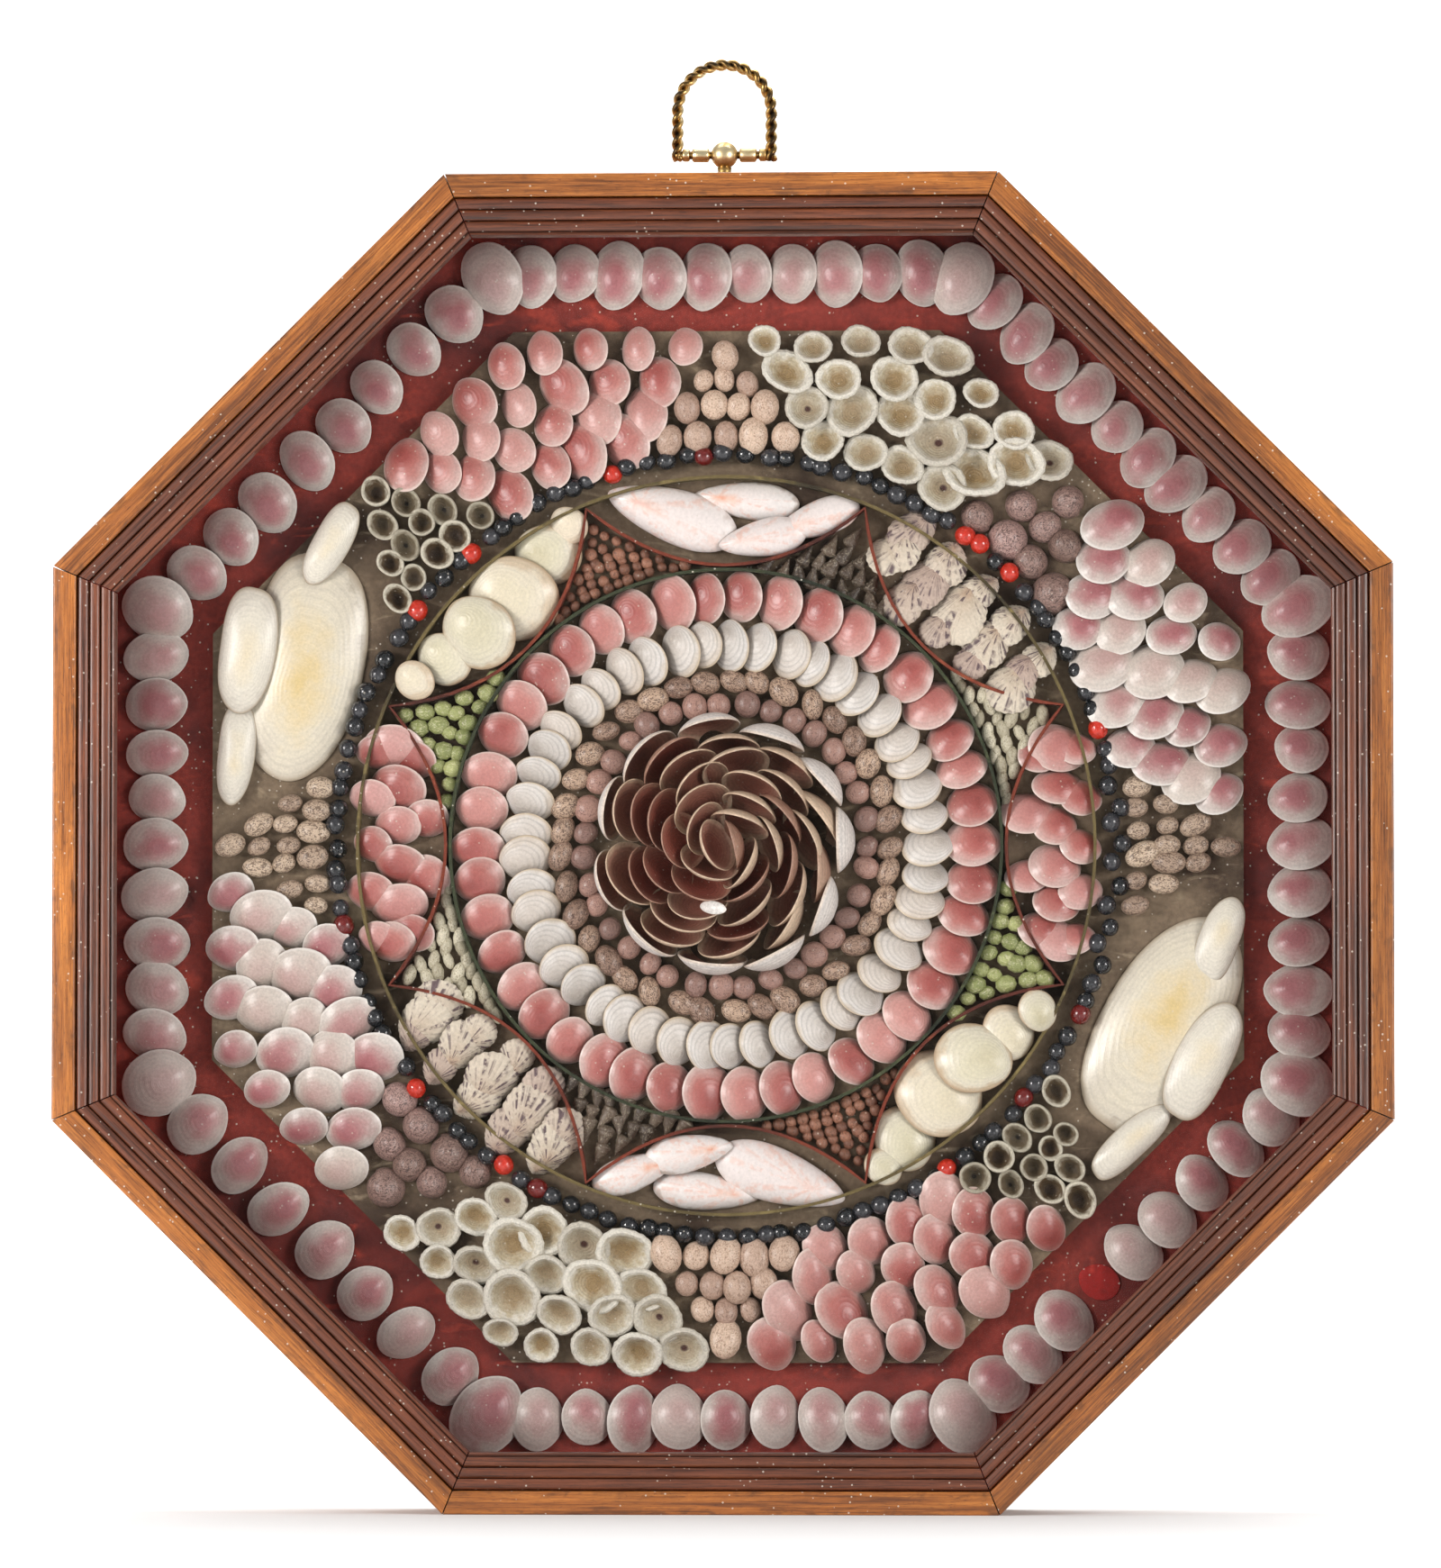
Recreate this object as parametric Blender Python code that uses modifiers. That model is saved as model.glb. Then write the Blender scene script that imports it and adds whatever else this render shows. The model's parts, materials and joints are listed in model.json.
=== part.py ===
"""Sailor's valentine: a shallow octagonal wooden case, glazed in front, with a mosaic of sea shells laid
round a shell rose, and a brass hanger with a swinging bail on its top side.

The case stands upright on its bottom side and faces -Y. Every piece inside hangs on the empty "face",
whose own X runs right, Y runs up and Z runs out towards the viewer from the middle of the case's depth.
"""

import math

import bmesh
import bpy
from mathutils import Matrix, Vector
from mathutils.geometry import delaunay_2d_cdt

MM = 0.001
SIDES = 8
STEP = 2 * math.pi / SIDES
MITRE = math.tan(STEP / 2)

# Case
CASE_ACROSS = 343 * MM
CASE_DEPTH = 41 * MM
BOARD = 6 * MM
CLEARANCE = 0.3 * MM

# Reeded moulding inside the front edge of the boards
REEDS = 3
REED_PITCH = 2.8 * MM
REED_RISE = 1.0 * MM
REED_DROP = 0.9 * MM
LIP = 1.0 * MM
MOULDING_INSET = 0.5 * MM
MOULDING_DEPTH = 9 * MM
ARC_STEPS = 4

# Plates, from front to back
GLASS = 2 * MM
BED = 3 * MM
PAPER = 1.5 * MM
BACK_BOARD = 5 * MM

# Shells of the border, laid side by side on the red paper, one of them missing
BORDER_MARGIN = 10 * MM
BORDER_WIDTH = 14.5 * MM
BORDER_PITCH = 12.3 * MM
BORDER_RISE = 9 * MM
BORDER_VALLEY = 0.6
MISSING_ON_SIDE = 7

# Bed of the mosaic, a band of red paper inside the border
RED_BAND = 7.5 * MM
BED_MARGIN = 1.0 * MM

# Bead band, its place a share of the mosaic's outer edge
TILES_IN_SHARE = 0.779
BEAD = 4.4 * MM
BEAD_PITCH = 4.65 * MM
BEAD_GAP = 3.1 * MM
BEAD_VALLEY = 0.4

# Wheel of lens-shaped compartments between two paper strips that stand on the bed
WHEEL_IN_SHARE = 0.748
STRIP = 0.8 * MM
STRIP_HEIGHT = 5.5 * MM
STRIP_POINTS = 24
SCALLOP_POINTS = 5

# Rings of shells inside the wheel, their widths as shares of its inner radius
PINK_SHARE = 0.175
PINK_PITCH = 9.57 * MM
PINK_RISE = 6 * MM
WHITE_SHARE = 0.161
WHITE_PITCH = 7.18 * MM
WHITE_RISE = 6.5 * MM
OUTER_SEED_SHARE = 0.0785
OUTER_SEED_PITCH = 7.27 * MM
INNER_SEED_SHARE = 0.073
INNER_SEED_PITCH = 6.57 * MM
SEED_RISE = 5.2 * MM
RING_GAP = 0.5 * MM
SHELL_VALLEY = 0.63
SEED_VALLEY = 0.5

# Rose of shells set on edge: rows from the outermost in, with radius and height as shares of the rose's
ROSE_GAP = 1.5 * MM
ROSE_BASE = 3 * MM
ROSE_HEIGHT = 15 * MM
PETALS_IN_ROW = (10, 9, 8, 6, 4)
ROW_RADIUS_SHARE = (0.813, 0.623, 0.436, 0.258, 0.092)
ROW_HEIGHT_SHARE = (0.6, 0.8, 0.93, 1.0, 1.0)
ROW_SLOPE = (0.56, 0.28, 0.16, 0.09, 0.05)
PETAL = 1.4 * MM
PETAL_VALLEY = 0.72
BULGE_SHARE = 0.04

# Compartments of the mosaic
WEDGE_HALF_ANGLE = math.radians(12.5)
TILE_BASE = 1.2 * MM
TILE_VALLEY = 1.8 * MM
VALLEY_SPACING = 1.5 * MM
ARC_PIECES = 4

# Rows of shells in each kind of compartment: how far out each row lies, how many shells, and their rise
WEDGE_ROWS = {
    "nerites": ((0.13, 6, 7), (0.38, 5, 7), (0.62, 3, 7), (0.85, 1, 6)),
    "ring_shells": ((0.12, 5, 5), (0.36, 4, 5), (0.6, 3, 5), (0.82, 2, 5)),
    "mottled_seeds": ((0.1, 6, 4), (0.3, 5, 4), (0.5, 4, 4), (0.7, 3, 4), (0.88, 1, 4)),
    "brown_nerites": ((0.14, 4, 7), (0.45, 3, 7), (0.77, 1, 7)),
}
CORNER_ROWS = {
    "pinks": ((0.2, 4, 6), (0.52, 6, 6), (0.85, 10, 6)),
    "limpets": ((0.18, 6, 5), (0.5, 8, 6), (0.84, 9, 5)),
    "pearl_ovals": ((0.18, 6, 5), (0.5, 7, 6), (0.84, 8, 6)),
}
LENS_END = 0.86
LENS_ROWS = {
    "pinks": ((0.27, 6, 6), (0.73, 6, 6)),
    "scallops": ((0.27, 5, 6), (0.73, 6, 6)),
}

# Large shells, each with its place in the compartment, length, width, turn from radial and rise
TELLINS = (
    (0.0, 0.42, 57, 27, 92, 9),
    (0.0, 0.8, 32, 13, 94, 6),
    (0.58, 0.82, 24, 9, 98, 5),
    (-0.7, 0.86, 24, 9, 74, 5),
)
COQUINAS = (
    (0.42, 0.62, 26, 11, 70, 6),
    (0.0, 0.83, 24, 6, 90, 5),
    (-0.45, 0.64, 20, 8, 110, 5),
    (-0.02, 0.3, 20, 7, 90, 6),
)
PEARLS = (
    (-0.78, 0.6, 9, 8, 0, 5),
    (-0.53, 0.55, 12, 10, 0, 6),
    (-0.23, 0.5, 17, 14, 0, 8),
    (0.15, 0.5, 20, 16, 0, 9),
    (0.52, 0.55, 14, 11, 0, 7),
    (0.78, 0.6, 9, 8, 0, 5),
)
CROWN_SHARE = 0.55
CROWN_POINTS = 5

# What each compartment holds, round the face from +X towards the top
WEDGE_KINDS = ("mottled_seeds", "brown_nerites", "nerites", "ring_shells") * 2
CORNER_KINDS = ("pearl_ovals", "limpets", "pinks", "tellins") * 2
LENS_KINDS = ("pinks", "scallops", "coquinas", "pearls") * 2
PLACES = (
    "right",
    "upper_right",
    "top",
    "upper_left",
    "left",
    "lower_left",
    "bottom",
    "lower_right",
)

# Hanger
BALL_R = 3.5 * MM
AXIS_RISE = 6.6 * MM
NECK_R = 2.2 * MM
SHANK_R = 1.5 * MM
SHANK_LENGTH = 4.6 * MM
PIN_R = 1.0 * MM
BARREL_R = 1.85 * MM
BARREL_LENGTH = 4.4 * MM
COLLAR_R = 1.6 * MM
COLLAR_LENGTH = 1.8 * MM
COLLAR_GAP = 0.5 * MM
WIRE_R = 1.55 * MM
BAIL_HALF_SPAN = 12.1 * MM
BAIL_RISE = 23.4 * MM
BAIL_STEPS = 10
ROUND_STEPS = 10

# Places worked out from the sizes above
OUTER = CASE_ACROSS / 2
INNER = OUTER - BOARD
FIT = INNER - CLEARANCE
FRONT = CASE_DEPTH / 2
BACK = -CASE_DEPTH / 2
PAPER_BACK = BACK + BACK_BOARD + CLEARANCE
PAPER_FRONT = PAPER_BACK + PAPER
BED_BACK = PAPER_FRONT + CLEARANCE
BED_FRONT = BED_BACK + BED
ON_PAPER = PAPER_FRONT + CLEARANCE
ON_BED = BED_FRONT + CLEARANCE
GLASS_FRONT = FRONT - MOULDING_DEPTH - CLEARANCE

# Bands of the mosaic, each worked out from the one outside it
BORDER_APOTHEM = INNER - BORDER_MARGIN - BORDER_WIDTH / 2
BORDER_PER_SIDE = round(2 * BORDER_APOTHEM * MITRE / BORDER_PITCH)
BED_APOTHEM = BORDER_APOTHEM - BORDER_WIDTH / 2 - RED_BAND
TILES_OUT = BED_APOTHEM - BED_MARGIN
TILES_IN_R = TILES_IN_SHARE * TILES_OUT
BEAD_R = TILES_IN_R - BEAD / 2
OUTER_STRIP_R = BEAD_R - BEAD / 2 - BEAD_GAP - STRIP / 2
INNER_STRIP_R = WHEEL_IN_SHARE * OUTER_STRIP_R
CUSP_R = OUTER_STRIP_R - STRIP - CLEARANCE
SCALLOP_R = INNER_STRIP_R + STRIP + CLEARANCE
PINK_WIDTH = PINK_SHARE * INNER_STRIP_R
PINK_R = INNER_STRIP_R - STRIP / 2 - RING_GAP - PINK_WIDTH / 2
WHITE_WIDTH = WHITE_SHARE * INNER_STRIP_R
WHITE_R = PINK_R - PINK_WIDTH / 2 - RING_GAP - WHITE_WIDTH / 2
OUTER_SEED_WIDTH = OUTER_SEED_SHARE * INNER_STRIP_R
OUTER_SEEDS_R = WHITE_R - WHITE_WIDTH / 2 - RING_GAP - OUTER_SEED_WIDTH / 2
INNER_SEED_WIDTH = INNER_SEED_SHARE * INNER_STRIP_R
INNER_SEEDS_R = OUTER_SEEDS_R - OUTER_SEED_WIDTH / 2 - RING_GAP - INNER_SEED_WIDTH / 2
ROSE_BASE_R = INNER_SEEDS_R - INNER_SEED_WIDTH / 2 - ROSE_GAP

# Colour, roughness and metallic value of each material
MATERIALS = {
    "amber_wood": ((0.45, 0.16, 0.035), 0.35, 0),
    "dark_wood": ((0.13, 0.035, 0.012), 0.35, 0),
    "back_wood": ((0.16, 0.08, 0.035), 0.7, 0),
    "clear_glass": ((0.9, 0.95, 0.95), 0.05, 0),
    "red_paper": ((0.28, 0.05, 0.03), 0.8, 0),
    "bed_board": ((0.16, 0.13, 0.09), 0.9, 0),
    "strip_paper": ((0.12, 0.11, 0.04), 0.7, 0),
    "brass": ((0.5, 0.33, 0.12), 0.35, 1),
    "black_beads": ((0.02, 0.022, 0.026), 0.15, 0),
    "rose_shell": ((0.35, 0.22, 0.17), 0.45, 0),
    "border_shell": ((0.5, 0.38, 0.38), 0.4, 0),
    "pinks": ((0.55, 0.25, 0.21), 0.4, 0),
    "white_shell": ((0.68, 0.64, 0.56), 0.45, 0),
    "seed_shell": ((0.35, 0.26, 0.2), 0.45, 0),
    "nerites": ((0.4, 0.3, 0.2), 0.3, 0),
    "ring_shells": ((0.36, 0.33, 0.26), 0.6, 0),
    "mottled_seeds": ((0.35, 0.28, 0.22), 0.4, 0),
    "brown_nerites": ((0.22, 0.13, 0.11), 0.35, 0),
    "limpets": ((0.55, 0.52, 0.44), 0.6, 0),
    "pearl_ovals": ((0.65, 0.63, 0.55), 0.3, 0),
    "tellins": ((0.68, 0.62, 0.5), 0.35, 0),
    "scallops": ((0.35, 0.3, 0.28), 0.6, 0),
    "coquinas": ((0.7, 0.6, 0.58), 0.35, 0),
    "pearls": ((0.75, 0.72, 0.62), 0.25, 0),
}


def clear_scene():
    for obj in list(bpy.data.objects):
        bpy.data.objects.remove(obj, do_unlink=True)


def new_collection(name):
    collection = bpy.data.collections.new(name)
    bpy.context.scene.collection.children.link(collection)
    return collection


def make_materials():
    made = {}
    for name, (colour, roughness, metallic) in MATERIALS.items():
        material = bpy.data.materials.new(name)
        material.use_nodes = True
        shader = material.node_tree.nodes["Principled BSDF"]
        shader.inputs["Base Color"].default_value = (*colour, 1)
        shader.inputs["Roughness"].default_value = roughness
        shader.inputs["Metallic"].default_value = metallic
        made[name] = material
    return made


clear_scene()
CASE = new_collection("sailors_valentine")
CUTTERS = new_collection("sailors_valentine_cutters")
MADE = make_materials()


def polar(radius, angle):
    return Vector((radius * math.cos(angle), radius * math.sin(angle)))


def add_object(name, data, material, parent=None):
    """Links an object into the case's collection, on the face unless another parent is given."""
    obj = bpy.data.objects.new(name, data)
    CASE.objects.link(obj)
    obj.parent = parent
    data.materials.append(MADE[material])
    return obj


def mesh_of(shape, name):
    """Turns a bmesh into a mesh with outward faces."""
    bmesh.ops.recalc_face_normals(shape, faces=shape.faces)
    mesh = bpy.data.meshes.new(name)
    shape.to_mesh(mesh)
    shape.free()
    return mesh


def make_cutter(obj):
    """Puts a helper of a Boolean out of the render."""
    CASE.objects.unlink(obj)
    CUTTERS.objects.link(obj)
    obj.hide_render = True
    obj.display_type = "WIRE"


def combine(obj, other, operation):
    modifier = obj.modifiers.new(f"{operation.lower()} {other.name}", "BOOLEAN")
    modifier.operation = operation
    modifier.object = other
    make_cutter(other)


def as_mesh(curve_object):
    """Replaces a curve object with the mesh that it makes, its caps welded on."""
    bpy.context.view_layer.update()
    graph = bpy.context.evaluated_depsgraph_get()
    mesh = bpy.data.meshes.new_from_object(curve_object.evaluated_get(graph))
    shape = bmesh.new()
    shape.from_mesh(mesh)
    bmesh.ops.remove_doubles(shape, verts=shape.verts, dist=0.001 * MM)
    bmesh.ops.recalc_face_normals(shape, faces=shape.faces)
    shape.to_mesh(mesh)
    shape.free()
    name = curve_object.name
    parent = curve_object.parent
    matrix = curve_object.matrix_world.copy()
    bpy.data.objects.remove(curve_object, do_unlink=True)
    obj = bpy.data.objects.new(name, mesh)
    CASE.objects.link(obj)
    obj.parent = parent
    obj.matrix_world = matrix
    return obj


def mitred_length(name, profile, index, material, face):
    """One of the eight sides: a profile of (apothem, depth) points, drawn along a side and mitred."""
    shape = bmesh.new()
    cut = CLEARANCE / 2 / math.cos(STEP / 2)
    ends = [
        [shape.verts.new((apothem, side * (apothem * MITRE - cut), depth)) for apothem, depth in profile]
        for side in (-1, 1)
    ]
    shape.faces.new(ends[0])
    shape.faces.new(reversed(ends[1]))
    for i in range(len(profile)):
        j = (i + 1) % len(profile)
        shape.faces.new((ends[0][i], ends[1][i], ends[1][j], ends[0][j]))
    obj = add_object(name, mesh_of(shape, name), material, face)
    obj.rotation_euler.z = index * STEP
    return obj


def make_sides(face):
    """The eight boards of the case."""
    profile = ((OUTER, FRONT), (OUTER, BACK), (INNER, BACK), (INNER, FRONT))
    for index, place in enumerate(PLACES):
        board = mitred_length(f"case_side_{place}", profile, index, "amber_wood", face)
        if place == "top":
            drill_for_shank(board, face)


def drill_for_shank(board, face):
    """The blind hole in the top board that takes the hanger's shank."""
    depth = SHANK_LENGTH + CLEARANCE
    shape = bmesh.new()
    bmesh.ops.create_cone(
        shape,
        cap_ends=True,
        segments=ROUND_STEPS,
        radius1=SHANK_R + CLEARANCE,
        radius2=SHANK_R + CLEARANCE,
        depth=2 * depth,
        matrix=Matrix.Rotation(math.pi / 2, 4, "X"),
    )
    drill = add_object("shank_drill", mesh_of(shape, "shank_drill"), "dark_wood", face)
    drill.location.y = OUTER
    combine(board, drill, "DIFFERENCE")


def reed_profile():
    """The moulding's section: reeds that step down inwards, a plain lip, and a flat back."""
    points = []
    for reed in range(REEDS):
        start = FIT - reed * REED_PITCH
        foot = FRONT - MOULDING_INSET - REED_RISE - reed * REED_DROP
        for step in range(ARC_STEPS + 1):
            turn = math.pi * step / ARC_STEPS
            across = start - REED_PITCH * (1 - math.cos(turn)) / 2
            points.append((across, foot + REED_RISE * math.sin(turn)))
    lip_front = points[-1][1]
    inner = points[-1][0] - LIP
    back = FRONT - MOULDING_DEPTH
    return points + [(inner, lip_front), (inner, back), (FIT, back)]


def make_mouldings(face):
    profile = reed_profile()
    for index, place in enumerate(PLACES):
        mitred_length(f"reeded_moulding_{place}", profile, index, "dark_wood", face)


def octagon_plate(name, apothem, back, thickness, material, face):
    """A flat octagonal plate, its flats parallel to the case's sides."""
    shape = bmesh.new()
    bmesh.ops.create_cone(
        shape,
        cap_ends=True,
        segments=SIDES,
        radius1=apothem / math.cos(STEP / 2),
        radius2=apothem / math.cos(STEP / 2),
        depth=thickness,
        matrix=Matrix.Rotation(STEP / 2, 4, "Z"),
    )
    obj = add_object(name, mesh_of(shape, name), material, face)
    obj.location.z = back + thickness / 2
    return obj


def make_plates(face):
    octagon_plate("glass_pane", FIT, GLASS_FRONT - GLASS, GLASS, "clear_glass", face)
    octagon_plate("mosaic_bed", BED_APOTHEM, BED_BACK, BED, "bed_board", face)
    octagon_plate("red_paper_ground", FIT, PAPER_BACK, PAPER, "red_paper", face)
    octagon_plate("back_board", FIT, BACK, BACK_BOARD, "back_wood", face)


def swept(name, points, swell, profile, material, face, base, closed=True):
    """A profile of (outward, up) points carried along a path. swell scales the profile at each point."""
    section = bpy.data.curves.new(f"{name}_profile", "CURVE")
    spline = section.splines.new("POLY")
    spline.points.add(len(profile) - 1)
    for point, (outward, up) in zip(spline.points, profile):
        point.co = (-outward, up, 0, 1)
    spline.use_cyclic_u = True
    guide = bpy.data.objects.new(f"{name}_profile", section)
    CASE.objects.link(guide)
    make_cutter(guide)
    path = bpy.data.curves.new(name, "CURVE")
    path.bevel_mode = "OBJECT"
    path.bevel_object = guide
    path.use_fill_caps = not closed
    route = path.splines.new("POLY")
    route.points.add(len(points) - 1)
    for point, place, size in zip(route.points, points, swell):
        point.co = (*place, 0, 1)
        point.radius = size
    route.use_cyclic_u = closed
    obj = add_object(name, path, material, face)
    obj.location.z = base
    return obj


def circle_points(radius, count):
    """Points round a circle, anticlockwise."""
    return [polar(radius, 2 * math.pi * i / count) for i in range(count)]


def strip_profile():
    half = STRIP / 2
    return ((-half, 0), (half, 0), (half, STRIP_HEIGHT), (-half, STRIP_HEIGHT))


def scallop_corner(index, number):
    """A corner of the scalloped strip, one of those along the lens-shaped compartment number index."""
    share = 2 * number / SCALLOP_POINTS - 1
    chord = CUSP_R * math.cos(STEP / 2)
    radial = chord - (chord - SCALLOP_R) * (1 - share * share)
    place = Vector((radial, CUSP_R * math.sin(STEP / 2) * share))
    place.rotate(Matrix.Rotation(index * STEP, 2))
    return place


def scallop_point(index, share):
    """A point on the scalloped strip between its corners, share running from -1 to 1 along the lens."""
    along = (share + 1) / 2 * SCALLOP_POINTS
    number = min(math.floor(along), SCALLOP_POINTS - 1)
    return scallop_corner(index, number).lerp(scallop_corner(index, number + 1), along - number)


def make_strips(face):
    """Two round paper strips and a scalloped one between them, set on edge on the bed."""
    profile = strip_profile()
    for name, radius in (("inner_paper_strip", INNER_STRIP_R), ("outer_paper_strip", OUTER_STRIP_R)):
        points = circle_points(radius / math.cos(math.pi / STRIP_POINTS), STRIP_POINTS)
        swept(name, points, [1] * len(points), profile, "strip_paper", face, ON_BED)
    points = []
    for index in range(SIDES):
        for step in range(SCALLOP_POINTS):
            points.append(scallop_corner(index, step))
    swept("scalloped_paper_strip", points, [1] * len(points), profile, "strip_paper", face, ON_BED)


def shell_profile(width, rise):
    """A shell's section, flat underneath."""
    half = width / 2
    return ((-half, 0), (half, 0), (0, rise))


def shell_ring(name, radius, pitch, profile, valley, material, face):
    """Shells fused side by side round a circle: full size at each crown, less at each valley."""
    count = round(2 * math.pi * radius / pitch)
    points = circle_points(radius, 2 * count)
    swept(name, points, [1, valley] * count, profile, material, face, ON_BED)


def make_rings(face):
    """The bead band, and the four rings of shells round the rose."""
    beads = shell_profile(BEAD, BEAD)
    shell_ring("bead_band", BEAD_R, BEAD_PITCH, beads, BEAD_VALLEY, "black_beads", face)
    pinks = shell_profile(PINK_WIDTH, PINK_RISE)
    shell_ring("pink_shell_ring", PINK_R, PINK_PITCH, pinks, SHELL_VALLEY, "pinks", face)
    whites = shell_profile(WHITE_WIDTH, WHITE_RISE)
    shell_ring("white_shell_ring", WHITE_R, WHITE_PITCH, whites, SHELL_VALLEY, "white_shell", face)
    seeds = shell_profile(OUTER_SEED_WIDTH, SEED_RISE)
    shell_ring("outer_seed_ring", OUTER_SEEDS_R, OUTER_SEED_PITCH, seeds, SEED_VALLEY, "seed_shell", face)
    seeds = shell_profile(INNER_SEED_WIDTH, SEED_RISE)
    shell_ring("inner_seed_ring", INNER_SEEDS_R, INNER_SEED_PITCH, seeds, SEED_VALLEY, "seed_shell", face)


def octagon_point(apothem, travel):
    """A point on an octagon's outline, travel being counted in sides from the middle of the right side."""
    side = math.floor(travel + 0.5)
    place = Vector((apothem, apothem * MITRE * 2 * (travel - side)))
    place.rotate(Matrix.Rotation(side * STEP, 2))
    return place


def make_border(face):
    """The border's shells, fused into one chain that is open where a shell is missing."""
    points = []
    swell = []
    for half_step in range(1, 2 * SIDES * BORDER_PER_SIDE):
        travel = MISSING_ON_SIDE + half_step / 2 / BORDER_PER_SIDE
        points.append(octagon_point(BORDER_APOTHEM, travel))
        swell.append(BORDER_VALLEY if half_step % 2 else 1)
    profile = shell_profile(BORDER_WIDTH, BORDER_RISE)
    swept("border_shells", points, swell, profile, "border_shell", face, ON_PAPER, closed=False)


def make_rose(face):
    """Rows of petals, each leaning outwards, on one round base."""
    shape = bmesh.new()
    bmesh.ops.create_cone(
        shape,
        cap_ends=True,
        segments=2 * ROUND_STEPS,
        radius1=ROSE_BASE_R,
        radius2=ROSE_BASE_R - ROSE_BASE,
        depth=ROSE_BASE,
    )
    rose = add_object("shell_rose", mesh_of(shape, "shell_rose"), "rose_shell", face)
    foot = ON_BED + ROSE_BASE / 2
    rose.location.z = foot
    rows = zip(PETALS_IN_ROW, ROW_RADIUS_SHARE, ROW_HEIGHT_SHARE, ROW_SLOPE)
    for petals, radius_share, height_share, slope in rows:
        height = height_share * ROSE_HEIGHT
        lean = slope * height
        profile = ((0, 0), (PETAL, 0), (PETAL + lean, height), (lean, height))
        outward = circle_points((radius_share + BULGE_SHARE) * ROSE_BASE_R, 2 * petals)
        inward = circle_points((radius_share - BULGE_SHARE) * ROSE_BASE_R, 2 * petals)
        points = [inward[i] if i % 2 else outward[i] for i in range(2 * petals)]
        name = f"petal_row_{petals}"
        row = swept(name, points, [1, PETAL_VALLEY] * petals, profile, "rose_shell", face, foot)
        combine(rose, as_mesh(row), "UNION")


def wedge_edges(index):
    """The inner and outer edges of the wedge whose point is at the middle of a side."""
    point = polar(TILES_OUT, index * STEP)

    def inner(share):
        return polar(TILES_IN_R, index * STEP + share * WEDGE_HALF_ANGLE)

    def outer(share):
        return point

    return inner, outer


def corner_edges(index):
    """The inner and outer edges of the compartment at the corner after side number index."""
    middle = (index + 0.5) * STEP
    corner = polar(TILES_OUT / math.cos(STEP / 2), middle)

    def inner(share):
        return polar(TILES_IN_R, middle + share * (STEP / 2 - WEDGE_HALF_ANGLE))

    def outer(share):
        end = polar(TILES_OUT, middle + math.copysign(STEP / 2, share))
        return corner.lerp(end, abs(share))

    return inner, outer


def lens_edges(index):
    """The inner and outer edges of a lens-shaped compartment of the wheel."""

    def inner(share):
        return scallop_point(index, share)

    def outer(share):
        half = CUSP_R * math.sin(STEP / 2) * share
        return polar(OUTER_STRIP_R, index * STEP + math.asin(half / OUTER_STRIP_R))

    return inner, outer


def outline_of(edges, shares):
    """A closed outline from a compartment's two edges, without points that coincide."""
    inner, outer = edges
    points = [inner(share) for share in shares] + [outer(share) for share in reversed(shares)]
    kept = []
    for point in points:
        if not kept or (point - kept[-1]).length > CLEARANCE:
            kept.append(point)
    return kept


def inset(outline, distance):
    """The outline moved inwards all round, for one that runs anticlockwise."""
    moved = []
    for i, point in enumerate(outline):
        before = (point - outline[i - 1]).normalized()
        after = (outline[(i + 1) % len(outline)] - point).normalized()
        mitre = (before.orthogonal() + after.orthogonal()).normalized()
        moved.append(point + mitre * distance / mitre.dot(after.orthogonal()))
    return moved


def row_shells(edges, rows, span):
    """The centres and rises of shells laid in rows between a compartment's two edges."""
    inner, outer = edges
    found = []
    for out, count, rise in rows:
        for i in range(count):
            share = span * ((2 * i + 1) / count - 1)
            found.append(([inner(share).lerp(outer(share), out)], rise * MM, []))
    return found


def oval(centre, length, width, angle):
    """A ring of points on an ellipse."""
    points = []
    for i in range(CROWN_POINTS):
        around = 2 * math.pi * i / CROWN_POINTS
        offset = Vector((length / 2 * math.cos(around), width / 2 * math.sin(around)))
        offset.rotate(Matrix.Rotation(angle, 2))
        points.append(centre + offset)
    return points


def large_shells(edges, shells, index):
    """Large shells, each a ring of points round its crown and one round its foot."""
    inner, outer = edges
    found = []
    for share, out, length, width, turn, rise in shells:
        centre = inner(share).lerp(outer(share), out)
        angle = index * STEP + math.radians(turn)
        length, width = length * MM, width * MM
        crown = oval(centre, CROWN_SHARE * length, CROWN_SHARE * width, angle)
        found.append((crown, rise * MM, oval(centre, length, width, angle)))
    return found


def centre_of(points):
    return sum(points, Vector((0, 0))) / len(points)


def is_inside(point, outline):
    """True where the point lies inside the outline, counted by crossings."""
    inside = False
    for i, a in enumerate(outline):
        b = outline[i - 1]
        if (a.y > point.y) != (b.y > point.y):
            if point.x < a.x + (b.x - a.x) * (point.y - a.y) / (b.y - a.y):
                inside = not inside
    return inside


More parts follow.
